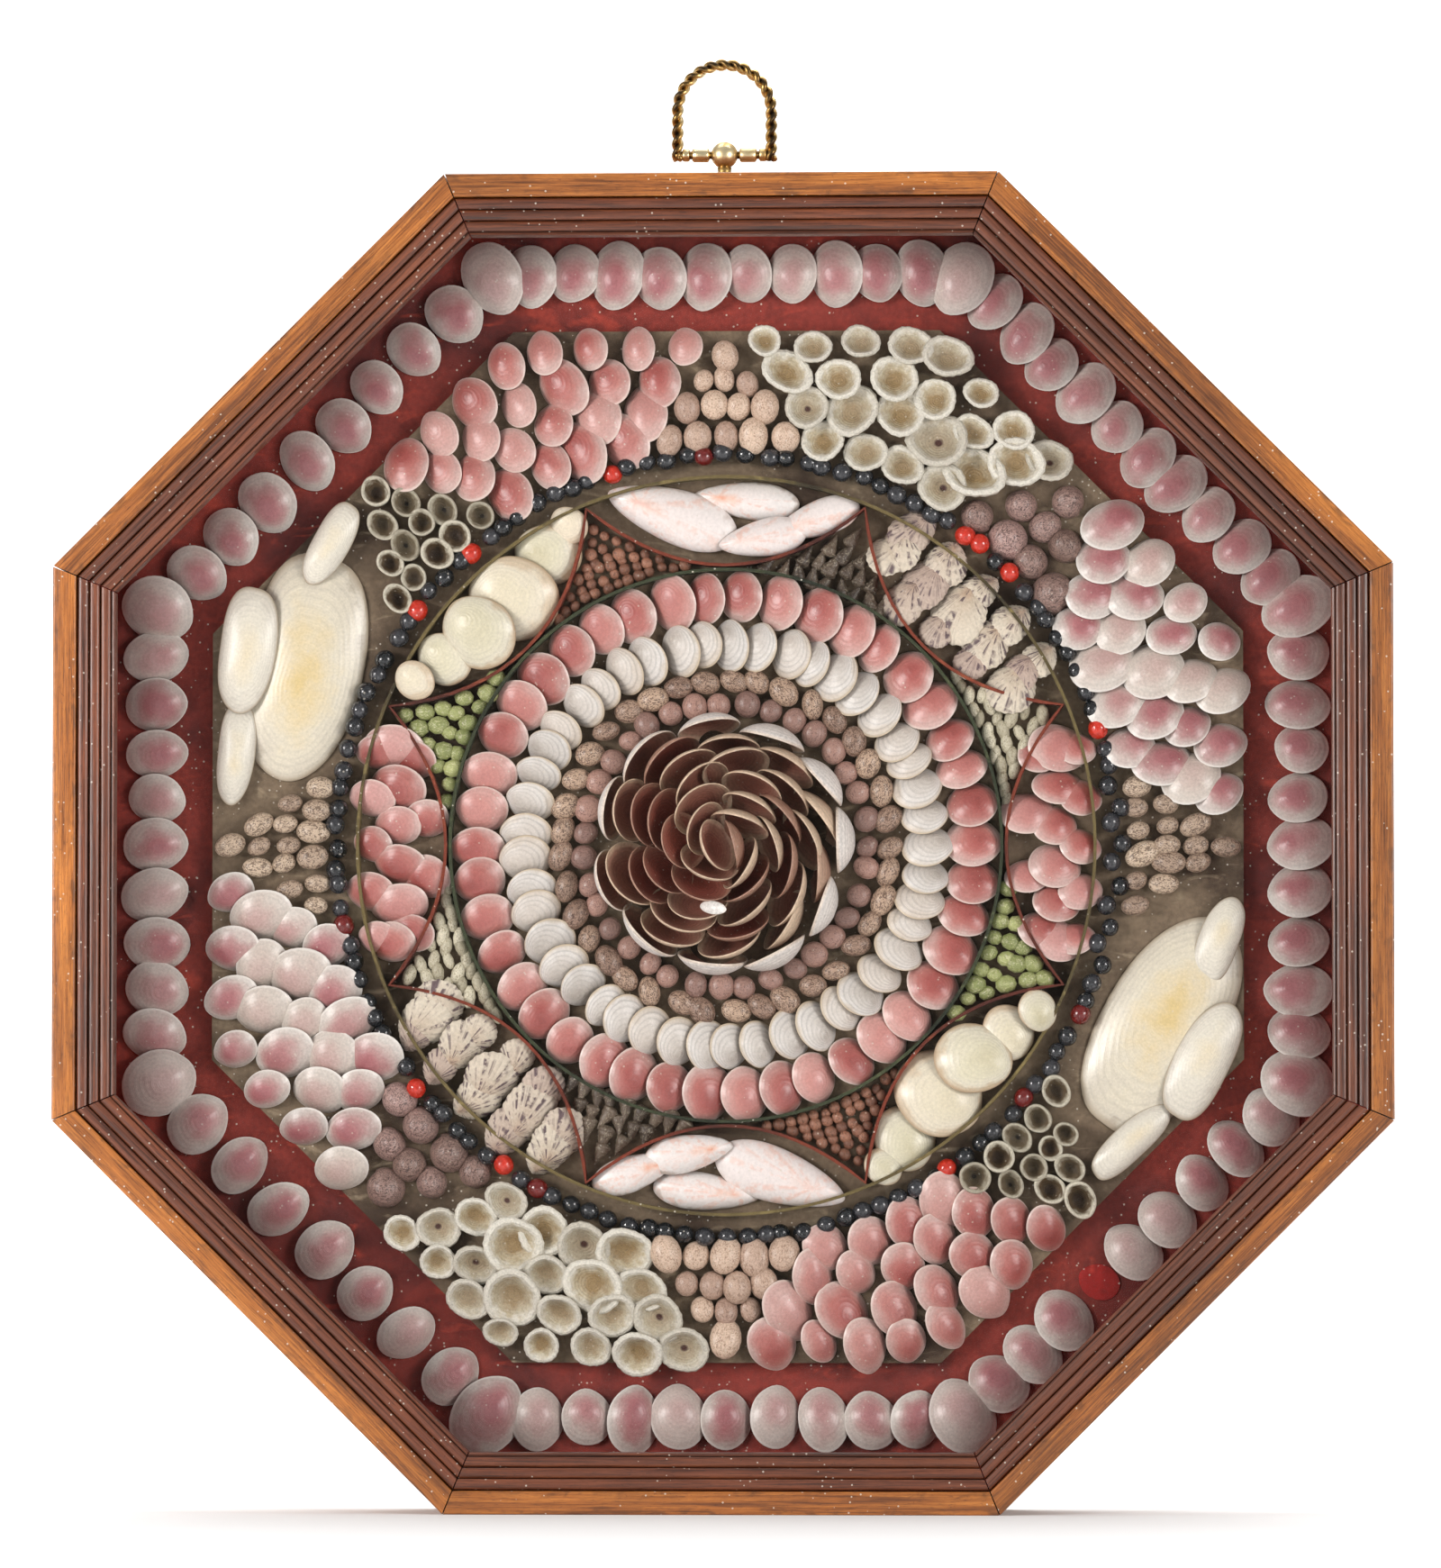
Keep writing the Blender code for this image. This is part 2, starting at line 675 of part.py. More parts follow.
def tile(name, outline, shells, material, face, margin=CLEARANCE):
    """One compartment's shells fused on a thin bed: raised crowns, with low valleys where three meet."""
    outline = inset(outline, margin)
    places = list(outline)
    heights = [TILE_BASE] * len(outline)
    centres = []
    valleys = []
    for crown, rise, foot in shells:
        inside = [p for p in crown if is_inside(p, outline)]
        places += inside
        heights += [rise] * len(inside)
        centres.append(centre_of(crown))
        valleys += foot
    middles, _, triangles, _, _, _ = delaunay_2d_cdt(centres, [], [], 0, CLEARANCE)
    valleys += [centre_of([middles[i] for i in corners]) for corners in triangles]
    for valley in valleys:
        if is_inside(valley, outline) and min((valley - p).length for p in places) > VALLEY_SPACING:
            places.append(valley)
            heights.append(TILE_VALLEY)
    rim = [(i, (i + 1) % len(outline)) for i in range(len(outline))]
    flat, _, faces, sources, _, _ = delaunay_2d_cdt(places, rim, [], 1, CLEARANCE / 4)
    shape = bmesh.new()
    top = [
        shape.verts.new((p.x, p.y, max(heights[i] for i in source)))
        for p, source in zip(flat, sources)
    ]
    bottom = [shape.verts.new((p.x, p.y, 0)) for p in flat]
    for corners in faces:
        shape.faces.new([top[i] for i in corners])
        shape.faces.new([bottom[i] for i in reversed(corners)])
    for edge in [e for e in shape.edges if e.is_boundary and e.verts[0] in top]:
        a, b = (top.index(v) for v in edge.verts)
        shape.faces.new((top[a], top[b], bottom[b], bottom[a]))
    obj = add_object(name, mesh_of(shape, name), material, face)
    obj.location.z = ON_BED
    return obj


def even_shares(pieces):
    return [2 * i / pieces - 1 for i in range(pieces + 1)]


def make_wedges(face):
    """The eight wedges that point outwards from the bead band."""
    for index, kind in enumerate(WEDGE_KINDS):
        edges = wedge_edges(index)
        outline = outline_of(edges, even_shares(ARC_PIECES))
        shells = row_shells(edges, WEDGE_ROWS[kind], 0.95)
        tile(f"{PLACES[index]}_wedge_{kind}", outline[::-1], shells, kind, face)


def make_corners(face):
    """The eight compartments at the bed's corners."""
    for index, kind in enumerate(CORNER_KINDS):
        edges = corner_edges(index)
        outline = outline_of(edges, even_shares(ARC_PIECES))
        if kind == "tellins":
            shells = large_shells(edges, TELLINS, index + 0.5)
        else:
            shells = row_shells(edges, CORNER_ROWS[kind], 0.95)
        tile(f"corner_{index + 1}_{kind}", outline[::-1], shells, kind, face)


def make_lenses(face):
    """The eight lens-shaped compartments of the wheel."""
    large = {"coquinas": COQUINAS, "pearls": PEARLS}
    shares = [max(-LENS_END, min(LENS_END, share)) for share in even_shares(SCALLOP_POINTS)]
    for index, kind in enumerate(LENS_KINDS):
        edges = lens_edges(index)
        outline = outline_of(edges, shares)
        if kind in large:
            shells = large_shells(edges, large[kind], index)
        else:
            shells = row_shells(edges, LENS_ROWS[kind], LENS_END)
        margin = STRIP / 2 + CLEARANCE
        tile(f"{PLACES[index]}_lens_{kind}", outline[::-1], shells, kind, face, margin)


def turned(name, profile, material, parent):
    """A profile of (radius, height) points, top to bottom, turned about the object's own Z axis."""
    mesh = bpy.data.meshes.new(name)
    points = [(radius, 0, height) for radius, height in profile]
    mesh.from_pydata(points, [(i, i + 1) for i in range(len(points) - 1)], [])
    obj = add_object(name, mesh, material, parent)
    screw = obj.modifiers.new("turn", "SCREW")
    screw.steps = ROUND_STEPS
    screw.render_steps = ROUND_STEPS
    screw.use_merge_vertices = True
    screw.merge_threshold = 0.01 * MM
    screw.use_normal_calculate = True
    return obj


def make_post(axle):
    """The hanger's post: a bored ball on a neck, with a shank that sits in the top board."""
    profile = [(0, BALL_R)]
    for step in range(1, ROUND_STEPS):
        turn = math.pi * step / ROUND_STEPS
        if BALL_R * math.sin(turn) < NECK_R and turn > math.pi / 2:
            break
        profile.append((BALL_R * math.sin(turn), BALL_R * math.cos(turn)))
    foot = CLEARANCE - AXIS_RISE
    profile += [(NECK_R, foot), (SHANK_R, foot), (SHANK_R, -AXIS_RISE - SHANK_LENGTH)]
    profile.append((0, profile[-1][1]))
    post = turned("hanger_post", profile, "brass", axle)
    shape = bmesh.new()
    bmesh.ops.create_cone(
        shape,
        cap_ends=True,
        segments=ROUND_STEPS,
        radius1=PIN_R + CLEARANCE,
        radius2=PIN_R + CLEARANCE,
        depth=3 * BALL_R,
        matrix=Matrix.Rotation(math.pi / 2, 4, "Y"),
    )
    bore = add_object("ball_bore", mesh_of(shape, "ball_bore"), "brass", axle)
    combine(post, bore, "DIFFERENCE")


def pin_profile():
    """Half of the cross pin: thin in the ball, then a barrel and a collar on each side."""
    barrel_start = BALL_R + CLEARANCE
    barrel_end = barrel_start + BARREL_LENGTH
    collar_start = barrel_end + COLLAR_GAP
    collar_end = collar_start + COLLAR_LENGTH
    return [
        (0, BAIL_HALF_SPAN),
        (PIN_R, BAIL_HALF_SPAN),
        (PIN_R, collar_end),
        (COLLAR_R, collar_end),
        (COLLAR_R, collar_start),
        (PIN_R, collar_start),
        (PIN_R, barrel_end),
        (BARREL_R, barrel_end),
        (BARREL_R, barrel_start),
        (PIN_R, barrel_start),
    ]


def make_bail(axle):
    """The bail: a wire arch whose legs end on the cross pin that turns in the ball."""
    half = pin_profile()
    profile = half + [(radius, -along) for radius, along in reversed(half)]
    bail = turned("hanger_bail", profile, "brass", axle)
    bail.rotation_euler.y = math.pi / 2
    wire = bpy.data.curves.new("bail_wire", "CURVE")
    wire.dimensions = "3D"
    wire.bevel_depth = WIRE_R
    wire.bevel_resolution = 2
    wire.use_fill_caps = True
    places = [(BAIL_HALF_SPAN, 0, -WIRE_R)]
    for step in range(BAIL_STEPS + 1):
        turn = math.pi * step / BAIL_STEPS
        arch = BAIL_RISE - BAIL_HALF_SPAN
        places.append((BAIL_HALF_SPAN * math.cos(turn), 0, arch + BAIL_HALF_SPAN * math.sin(turn)))
    places.append((-BAIL_HALF_SPAN, 0, -WIRE_R))
    spline = wire.splines.new("POLY")
    spline.points.add(len(places) - 1)
    for point, place in zip(spline.points, places):
        point.co = (*place, 1)
    arch_object = add_object("bail_wire", wire, "brass", axle)
    combine(bail, as_mesh(arch_object), "UNION")


def make_hanger():
    """The brass hanger on the top side, its moving bail on the pin's axis."""
    axle = bpy.data.objects.new("hanger_axis", None)
    CASE.objects.link(axle)
    axle.location.z = CASE_ACROSS + AXIS_RISE
    make_post(axle)
    make_bail(axle)


def make_face():
    face = bpy.data.objects.new("face", None)
    CASE.objects.link(face)
    face.location.z = OUTER
    face.rotation_euler.x = math.pi / 2
    return face


def smooth_round_pieces():
    """Smooth shading on what is round, with its sharp edges kept."""
    for name in ("hanger_post", "hanger_bail"):
        mesh = bpy.data.objects[name].data
        mesh.shade_smooth()
        mesh.set_sharp_from_angle(angle=math.radians(40))


def main():
    face = make_face()
    make_sides(face)
    make_mouldings(face)
    make_plates(face)
    make_strips(face)
    make_rings(face)
    make_border(face)
    make_rose(face)
    make_wedges(face)
    make_corners(face)
    make_lenses(face)
    make_hanger()
    smooth_round_pieces()


main()
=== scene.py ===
"""Looks of the sailor's valentine: shells, beads, paper, wood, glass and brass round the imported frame.

Lengths are in millimetres, and points lie on the face of the case: X runs right, Y up and Z out towards the
viewer, from the middle of the case's depth. in_frame() turns them into the frame's metres.
"""

import json
import math

import bpy
import numpy as np
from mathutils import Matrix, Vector

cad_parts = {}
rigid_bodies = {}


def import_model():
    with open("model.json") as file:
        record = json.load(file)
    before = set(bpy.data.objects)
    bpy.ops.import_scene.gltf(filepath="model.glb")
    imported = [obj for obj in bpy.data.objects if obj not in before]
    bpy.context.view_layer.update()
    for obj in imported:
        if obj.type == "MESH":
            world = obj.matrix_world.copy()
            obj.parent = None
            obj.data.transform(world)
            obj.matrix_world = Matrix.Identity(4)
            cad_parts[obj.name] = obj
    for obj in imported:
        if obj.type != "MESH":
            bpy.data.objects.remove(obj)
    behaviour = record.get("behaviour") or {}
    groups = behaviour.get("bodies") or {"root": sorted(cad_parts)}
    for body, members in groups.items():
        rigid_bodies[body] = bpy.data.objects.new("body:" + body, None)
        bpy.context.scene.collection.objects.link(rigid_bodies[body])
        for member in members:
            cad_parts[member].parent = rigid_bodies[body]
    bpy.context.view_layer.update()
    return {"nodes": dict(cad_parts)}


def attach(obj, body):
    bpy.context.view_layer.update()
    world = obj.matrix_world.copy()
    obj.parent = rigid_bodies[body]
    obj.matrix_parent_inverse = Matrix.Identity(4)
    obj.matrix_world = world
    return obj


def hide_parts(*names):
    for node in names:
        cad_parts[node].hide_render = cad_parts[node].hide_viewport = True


for startup_object in list(bpy.data.objects):
    bpy.data.objects.remove(startup_object, do_unlink=True)
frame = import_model()

MM = 0.001
SIDES = 8
STEP = 360 / SIDES
MITRE = math.tan(math.radians(STEP / 2))
SLANT = 1 / math.cos(math.radians(STEP / 2))

# Case, as in the part's source
OUTER = 171.5
BOARD = 6.0
INNER = OUTER - BOARD
CLEARANCE = 0.3
FRONT = 20.5
BACK = -20.5
GLASS_BACK = 9.2
ON_PAPER = -13.4
ON_BED = -10.1

# Bands of the mosaic, as in the part's source
BORDER_APOTHEM = 148.25
TILES_OUT = 132.5
TILES_IN_R = 103.2
BEAD_R = 101.0
OUTER_STRIP_R = 95.3
INNER_STRIP_R = 71.3
CUSP_R = 94.2
SCALLOP_R = 72.4
STRIP_HEIGHT = 5.5
PINK_R = 64.15
WHITE_R = 51.7
OUTER_SEEDS_R = 42.6
INNER_SEEDS_R = 36.7
WEDGE_HALF_ANGLE = 12.5
PLACES = ("right", "upper_right", "top", "upper_left", "left", "lower_left", "bottom", "lower_right")

# Camera: a little to the right of the middle and below it
CAMERA_AT = (116.0, -81.0, 2320.0)
CAMERA_AIM = (0.0, 14.7, FRONT)
VIEW_HEIGHT = 400.3
SENSOR = 36.0
# Metres behind the case at which the floor turns up: past a camera that looks from behind
SWEEP_START = 3.0


def in_frame(points):
    """Millimetres on the face, turned into metres in the frame."""
    points = np.asarray(points, float)
    return np.stack((points[..., 0], -points[..., 2], points[..., 1] + OUTER), -1) * MM


def polar(radius, degrees):
    angle = math.radians(degrees)
    return np.array((radius * math.cos(angle), radius * math.sin(angle)))


def rotation(turn, tip=0.0, roll=0.0):
    """A turn about Z after a tip about X and a roll about Y, in degrees."""
    (cz, sz), (cx, sx), (cy, sy) = (
        (math.cos(math.radians(angle)), math.sin(math.radians(angle))) for angle in (turn, tip, roll)
    )
    about_z = np.array(((cz, -sz, 0), (sz, cz, 0), (0, 0, 1)))
    about_x = np.array(((1, 0, 0), (0, cx, -sx), (0, sx, cx)))
    about_y = np.array(((cy, 0, sy), (0, 1, 0), (-sy, 0, cy)))
    return about_z @ about_x @ about_y


# Camera, light and stage


def make_camera():
    camera = bpy.data.objects.new("photo_camera", bpy.data.cameras.new("photo_camera"))
    bpy.context.scene.collection.objects.link(camera)
    start = in_frame(CAMERA_AT)
    aim = in_frame(CAMERA_AIM)
    camera.location = start
    camera.rotation_euler = Vector(aim - start).to_track_quat("-Z", "Y").to_euler()
    camera.data.sensor_fit = "VERTICAL"
    camera.data.sensor_height = SENSOR
    camera.data.lens = SENSOR * np.linalg.norm(aim - start) / (VIEW_HEIGHT * MM)
    bpy.context.scene.camera = camera


def area_light(name, place, aim, size, power, colour=(1, 1, 1)):
    """A square soft light, placed and aimed in the frame's metres."""
    data = bpy.data.lights.new(name, "AREA")
    data.size = size
    data.energy = power
    data.color = colour
    light = bpy.data.objects.new(name, data)
    bpy.context.scene.collection.objects.link(light)
    light.location = place
    light.rotation_euler = (Vector(aim) - Vector(place)).to_track_quat("-Z", "Y").to_euler()


def make_stage():
    """A pale floor that sweeps up into a backdrop, a pale sky and soft lights."""
    scene = bpy.context.scene
    scene.view_settings.view_transform = "Standard"
    scene.cycles.diffuse_bounces = 2
    scene.cycles.glossy_bounces = 2
    world = bpy.data.worlds.new("pale_sky")
    world.use_nodes = True
    world.node_tree.nodes["Background"].inputs["Color"].default_value = (1, 1, 1, 1)
    world.node_tree.nodes["Background"].inputs["Strength"].default_value = 0.47
    scene.world = world
    profile = [(-6.0, 0.0), (SWEEP_START, 0.0)]
    for step in range(1, 9):
        turn = step * math.pi / 16
        profile.append((SWEEP_START + math.sin(turn), 1 - math.cos(turn)))
    profile.append((SWEEP_START + 1, 5.0))
    points = [(x, y, z) for y, z in profile for x in (-7.0, 7.0)]
    faces = [(2 * i, 2 * i + 1, 2 * i + 3, 2 * i + 2) for i in range(len(profile) - 1)]
    mesh = bpy.data.meshes.new("pale_sweep")
    mesh.from_pydata(points, [], faces)
    mesh.shade_smooth()
    paint = Paint("pale_floor", 0.9)
    paint.colour((0.93, 0.93, 0.93))
    sweep = bpy.data.objects.new("pale_sweep", mesh)
    bpy.context.scene.collection.objects.link(sweep)
    mesh.materials.append(paint.material)
    middle = (0, 0, OUTER * MM)
    warm = (1.0, 0.97, 0.945)
    area_light("left_soft_light", (-1.6, -1.45, 0.5), middle, 0.7, 31, warm)
    area_light("right_soft_light", (1.65, -1.5, 0.45), middle, 0.7, 23, warm)
    area_light("floor_light", (0, 0.75, 2.6), (0, 2.2, 0.5), 2.4, 60)
    area_light("backdrop_light", (0, 2.6, 2.8), (0, SWEEP_START + 1, 0.5), 2.4, 80)


# Materials


def linear(colour):
    """A colour given on the 0 to 255 scale, as linear light."""
    shares = [value / 255 for value in colour]
    return tuple(s / 12.92 if s <= 0.04045 else ((s + 0.055) / 1.055) ** 2.4 for s in shares)


class Paint:
    """A material round one Principled shader, built with short calls that each return a socket."""

    def __init__(self, name, roughness=0.5, **constants):
        self.material = bpy.data.materials.new(name)
        self.material.use_nodes = True
        self.tree = self.material.node_tree
        self.shader = self.tree.nodes["Principled BSDF"]
        self.shader.inputs["Roughness"].default_value = roughness
        for label, value in constants.items():
            self.shader.inputs[label.replace("_", " ").title()].default_value = value

    def node(self, kind, inputs=(), **settings):
        made = self.tree.nodes.new(kind)
        for label, value in settings.items():
            setattr(made, label, value)
        for slot, value in dict(inputs).items():
            self.feed(made.inputs[slot], value)
        return made

    def feed(self, socket, value):
        if isinstance(value, bpy.types.NodeSocket):
            self.tree.links.new(value, socket)
        elif isinstance(value, tuple) and len(value) == 3 and socket.type == "RGBA":
            socket.default_value = (*value, 1)
        else:
            socket.default_value = value

    def colour(self, value):
        self.feed(self.shader.inputs["Base Color"], value)

    def roughness(self, value):
        self.feed(self.shader.inputs["Roughness"], value)

    def attribute(self, name):
        return self.node("ShaderNodeAttribute", attribute_name=name).outputs["Fac"]

    def attribute_vector(self, name):
        return self.node("ShaderNodeAttribute", attribute_name=name).outputs["Vector"]

    def place(self):
        """The point's place in the frame, in metres."""
        return self.node("ShaderNodeTexCoord").outputs["Object"]

    def stretched(self, socket, scale):
        inputs = {0: socket, 1: scale}
        return self.node("ShaderNodeVectorMath", inputs, operation="MULTIPLY").outputs[0]

    def noise(self, socket, scale, detail=3.0, distortion=0.0):
        inputs = {"Vector": socket, "Scale": scale, "Detail": detail, "Distortion": distortion}
        return self.node("ShaderNodeTexNoise", inputs).outputs[0]

    def cells(self, socket, scale):
        return self.node("ShaderNodeTexVoronoi", {"Vector": socket, "Scale": scale}).outputs["Distance"]

    def calc(self, operation, a, b=0.0):
        return self.node("ShaderNodeMath", {0: a, 1: b}, operation=operation).outputs[0]

    def between(self, socket, low, high, to_low=0.0, to_high=1.0):
        """Maps low to high onto a new range, and holds it there."""
        inputs = {0: socket, 1: low, 2: high, 3: to_low, 4: to_high}
        return self.node("ShaderNodeMapRange", inputs).outputs[0]

    def ramp(self, socket, stops):
        """A colour ramp: stops are (place, colour on the 0 to 255 scale)."""
        made = self.node("ShaderNodeValToRGB", {0: socket})
        elements = made.color_ramp.elements
        while len(elements) < len(stops):
            elements.new(0.5)
        for element, (place, colour) in zip(elements, stops):
            element.position = place
            element.color = (*linear(colour), 1)
        return made.outputs[0]

    def mix(self, a, b, share, mode="MIX"):
        made = self.node("ShaderNodeMix", data_type="RGBA", blend_type=mode)
        self.feed(made.inputs[0], share)
        for socket, value in ((made.inputs[6], a), (made.inputs[7], b)):
            self.feed(socket, value)
        return made.outputs[2]

    def stripes(self, socket, count, wobble=None):
        """Waves from 0 to 1 along a value."""
        turned = self.calc("MULTIPLY", socket, count * 2 * math.pi)
        if wobble is not None:
            turned = self.calc("ADD", turned, wobble)
        return self.between(self.calc("SINE", turned), -1, 1)

    def bump(self, height, strength, distance):
        inputs = {"Height": height, "Strength": strength, "Distance": distance * MM}
        self.feed(self.shader.inputs["Normal"], self.node("ShaderNodeBump", inputs).outputs[0])


DUST = linear((214, 205, 190))


def dusted(paint, colour, amount=0.5):
    """A few pale specks of dust over a colour."""
    distance = paint.cells(paint.place(), 520)
    rare = paint.calc("GREATER_THAN", paint.noise(paint.place(), 90, 1), 0.5)
    speck = paint.calc("MULTIPLY", paint.calc("LESS_THAN", distance, 0.13), rare)
    return paint.mix(colour, DUST, paint.calc("MULTIPLY", speck, amount))


def shell_paint(name, stops, other, lines, dark, mottle, roughness, relief, coat, rim):
    """A bivalve's finish: colours from umbo to margin, growth lines, mottling and shades between shells."""
    paint = Paint(name, roughness, coat_weight=coat, coat_roughness=0.25)
    growth = paint.attribute("growth")
    local = paint.attribute_vector("local")
    shade = paint.attribute("shade")
    cloud = paint.noise(local, 0.16, 3)
    drift = paint.calc("ADD", paint.between(cloud, 0.3, 0.7, -0.16, 0.16), paint.between(shade, 0, 1, -0.08, 0.16))
    colour = paint.ramp(paint.calc("ADD", growth, drift), stops)
    shift = paint.between(shade, 0.45, 1, 0, 0.75)
    colour = paint.mix(colour, linear(other), shift)
    wave = paint.stripes(growth, lines, paint.calc("MULTIPLY", cloud, 5))
    fine = paint.stripes(growth, lines * 3.7, paint.calc("MULTIPLY", cloud, 9))
    line = paint.calc("MULTIPLY", paint.calc("POWER", wave, 3), paint.between(growth, 0.2, 0.9))
    shadow = paint.between(line, 0, 1, 1, 1 - dark)
    grain = paint.between(paint.noise(local, 1.6, 5), 0.3, 0.75, 1 - mottle, 1.04)
    lot = paint.between(shade, 0, 1, 0.86, 1.08)
    tone = paint.calc("MULTIPLY", paint.calc("MULTIPLY", shadow, grain), lot)
    colour = paint.mix(colour, tone, 1.0, "MULTIPLY")
    # A thin line along the margin. Bright on the pink, oval and border shells: their pale margins with painted light
    # along the edge. Darker on the tellins and pearl clams: painted shade at the edge.
    colour = paint.mix(colour, linear(rim), paint.between(growth, 0.93, 0.985, 0, 0.85))
    paint.colour(dusted(paint, colour))
    height = paint.calc("ADD", wave, paint.calc("MULTIPLY", fine, 0.4))
    paint.bump(height, 0.6, relief)
    return paint.material


def dish_paint(name, floor, mid, rim, outside, spot, other, roughness=0.55):
    """Open shells lying mouth up: a darker floor, a pale rim, and in some a dark spot in the middle."""
    paint = Paint(name, roughness)
    growth = paint.attribute("growth")
    local = paint.attribute_vector("local")
    shade = paint.attribute("shade")
    cloud = paint.noise(local, 0.5, 4)
    drift = paint.between(cloud, 0.3, 0.7, -0.09, 0.09)
    stops = ((0.0, floor), (0.2, floor), (0.42, mid), (0.56, rim), (0.7, rim), (0.86, outside))
    colour = paint.ramp(paint.calc("ADD", growth, drift), stops)
    colour = paint.mix(colour, linear(other), paint.between(shade, 0.4, 1, 0, 0.6))
    some = paint.calc("GREATER_THAN", shade, 0.76)
    spotted = paint.calc("MULTIPLY", paint.between(growth, 0.07, 0.13, 1, 0), some)
    colour = paint.mix(colour, linear(spot), spotted)
    grain = paint.between(paint.noise(local, 1.8, 5), 0.3, 0.75, 0.74, 1.06)
    dirt = paint.between(paint.noise(local, 0.9, 3, 1.2), 0.58, 0.7, 1, 0.78)
    colour = paint.mix(colour, paint.calc("MULTIPLY", grain, dirt), 1.0, "MULTIPLY")
    paint.colour(dusted(paint, colour))
    paint.bump(paint.calc("ADD", cloud, paint.stripes(growth, 14)), 0.6, 0.14)
    return paint.material


def ray_paint(name, stops, other, rays, ray_colour, ray_share=0.5, roughness=0.5, relief=0.25, mottle=0.2):
    """A finish with streaks that run from the apex or umbo to the margin."""
    paint = Paint(name, roughness)
    growth = paint.attribute("growth")
    ray = paint.attribute_vector("ray")
    local = paint.attribute_vector("local")
    streak = paint.noise(ray, rays, 2)
    cloud = paint.noise(local, 0.35, 3)
    colour = paint.ramp(paint.calc("ADD", growth, paint.between(cloud, 0.3, 0.7, -0.1, 0.1)), stops)
    shift = paint.between(paint.attribute("shade"), 0.3, 1, 0, 0.8)
    colour = paint.mix(colour, linear(other), shift)
    blotch = paint.between(paint.noise(local, 0.55, 2), 0.42, 0.56)
    strength = paint.calc("MULTIPLY", paint.between(streak, 0.46, 0.6, 0, ray_share), blotch)
    colour = paint.mix(colour, linear(ray_colour), strength)
    grain = paint.between(paint.noise(local, 1.3, 4), 0.3, 0.75, 1 - mottle, 1.04)
    paint.colour(dusted(paint, paint.mix(colour, grain, 1.0, "MULTIPLY")))
    ridge = paint.calc("ADD", streak, paint.calc("MULTIPLY", paint.stripes(growth, 7), 0.25))
    paint.bump(ridge, 0.7, relief)
    return paint.material


def speckled_paint(name, ground, other, speck, scale=0.9, cover=0.5, roughness=0.4, relief=0.1):
    """Small shells with blotches and specks of a darker colour."""
    paint = Paint(name, roughness)
    local = paint.attribute_vector("local")
    shade = paint.attribute("shade")
    colour = paint.mix(linear(ground), linear(other), shade)
    blotch = paint.noise(paint.stretched(local, (1.0, 0.6, 1.0)), scale, 3, 2.0)
    spots = paint.between(blotch, cover, cover + 0.07)
    colour = paint.mix(colour, linear(speck), paint.calc("MULTIPLY", spots, 0.8))
    grain = paint.between(paint.noise(local, 2.4, 4), 0.3, 0.75, 0.74, 1.1)
    tone = paint.calc("MULTIPLY", grain, paint.between(shade, 0, 1, 1.12, 0.88))
    colour = paint.mix(colour, tone, 1.0, "MULTIPLY")
    paint.colour(dusted(paint, colour))
    paint.bump(paint.calc("ADD", blotch, paint.stripes(paint.attribute("growth"), 6)), 0.5, relief)
    return paint.material


def wood_paint(name, light, mid, dark, roughness=0.38, groove=None, coat=0.3, board=False):
    """Varnished wood: streaks along the board, pores, scratches, painted shade where a groove is, and dirt where an
    edge is.

    board says that the wood is a plain plate of the frame, whose grain runs along X.
    """
    paint = Paint(name, roughness, coat_weight=coat, coat_roughness=0.2)
    local = paint.stretched(paint.place(), (1000, 1000, 1000)) if board else paint.attribute_vector("local")
    shade = 0.5 if board else paint.attribute("shade")
    long = paint.noise(paint.stretched(local, (0.012, 0.32, 0.32)), 1.0, 5, 0.6)
    fibre = paint.noise(paint.stretched(local, (0.07, 2.6, 2.6)), 1.0, 4)
    cloud = paint.noise(paint.stretched(local, (0.03, 0.08, 0.08)), 1.0, 3)
    total = paint.calc("ADD", paint.calc("MULTIPLY", long, 0.5), paint.calc("MULTIPLY", fibre, 0.5))
    stops = ((0.37, dark), (0.49, mid), (0.62, light))
    colour = paint.ramp(total, stops)
    # Cloudy tone at random, and darker towards the right-hand sides by the shade that each side is given.
    worn = paint.between(paint.calc("ADD", cloud, paint.calc("MULTIPLY", shade, 0.4)), 0.35, 0.95, 1.14, 0.66)
    colour = paint.mix(colour, worn, 1.0, "MULTIPLY")
    pores = paint.noise(paint.stretched(local, (0.35, 7.0, 7.0)), 1.0, 2)
    pore = paint.between(pores, 0.56, 0.68, 1, 0.5)
    colour = paint.mix(colour, pore, 1.0, "MULTIPLY")
    scratches = paint.noise(paint.stretched(local, (0.5, 0.9, 0.9)), 1.0, 3, 2.5)
    colour = paint.mix(colour, linear(dark), paint.between(scratches, 0.64, 0.7, 0, 0.6))
    # The groove colour darkens the bottoms of the grooves between the reeds: painted shade.
    if groove:
        depth = paint.between(paint.attribute("growth"), 0.05, 0.55)
        colour = paint.mix(linear(groove), colour, depth)
    elif not board:
        nicks = paint.noise(paint.stretched(local, (0.16, 0.3, 0.3)), 1.0, 4, 1.0)
        edge = paint.calc("MULTIPLY", paint.attribute("growth"), paint.between(nicks, 0.5, 0.68, 0, 0.55))
        colour = paint.mix(colour, linear(tuple(value * 0.55 for value in dark)), edge)
    paint.colour(dusted(paint, colour, 0.6))
    paint.roughness(paint.between(fibre, 0.3, 0.7, roughness - 0.08, roughness + 0.16))
    paint.bump(paint.calc("ADD", fibre, paint.calc("MULTIPLY", pores, -0.6)), 0.5, 0.12)
    return paint.material


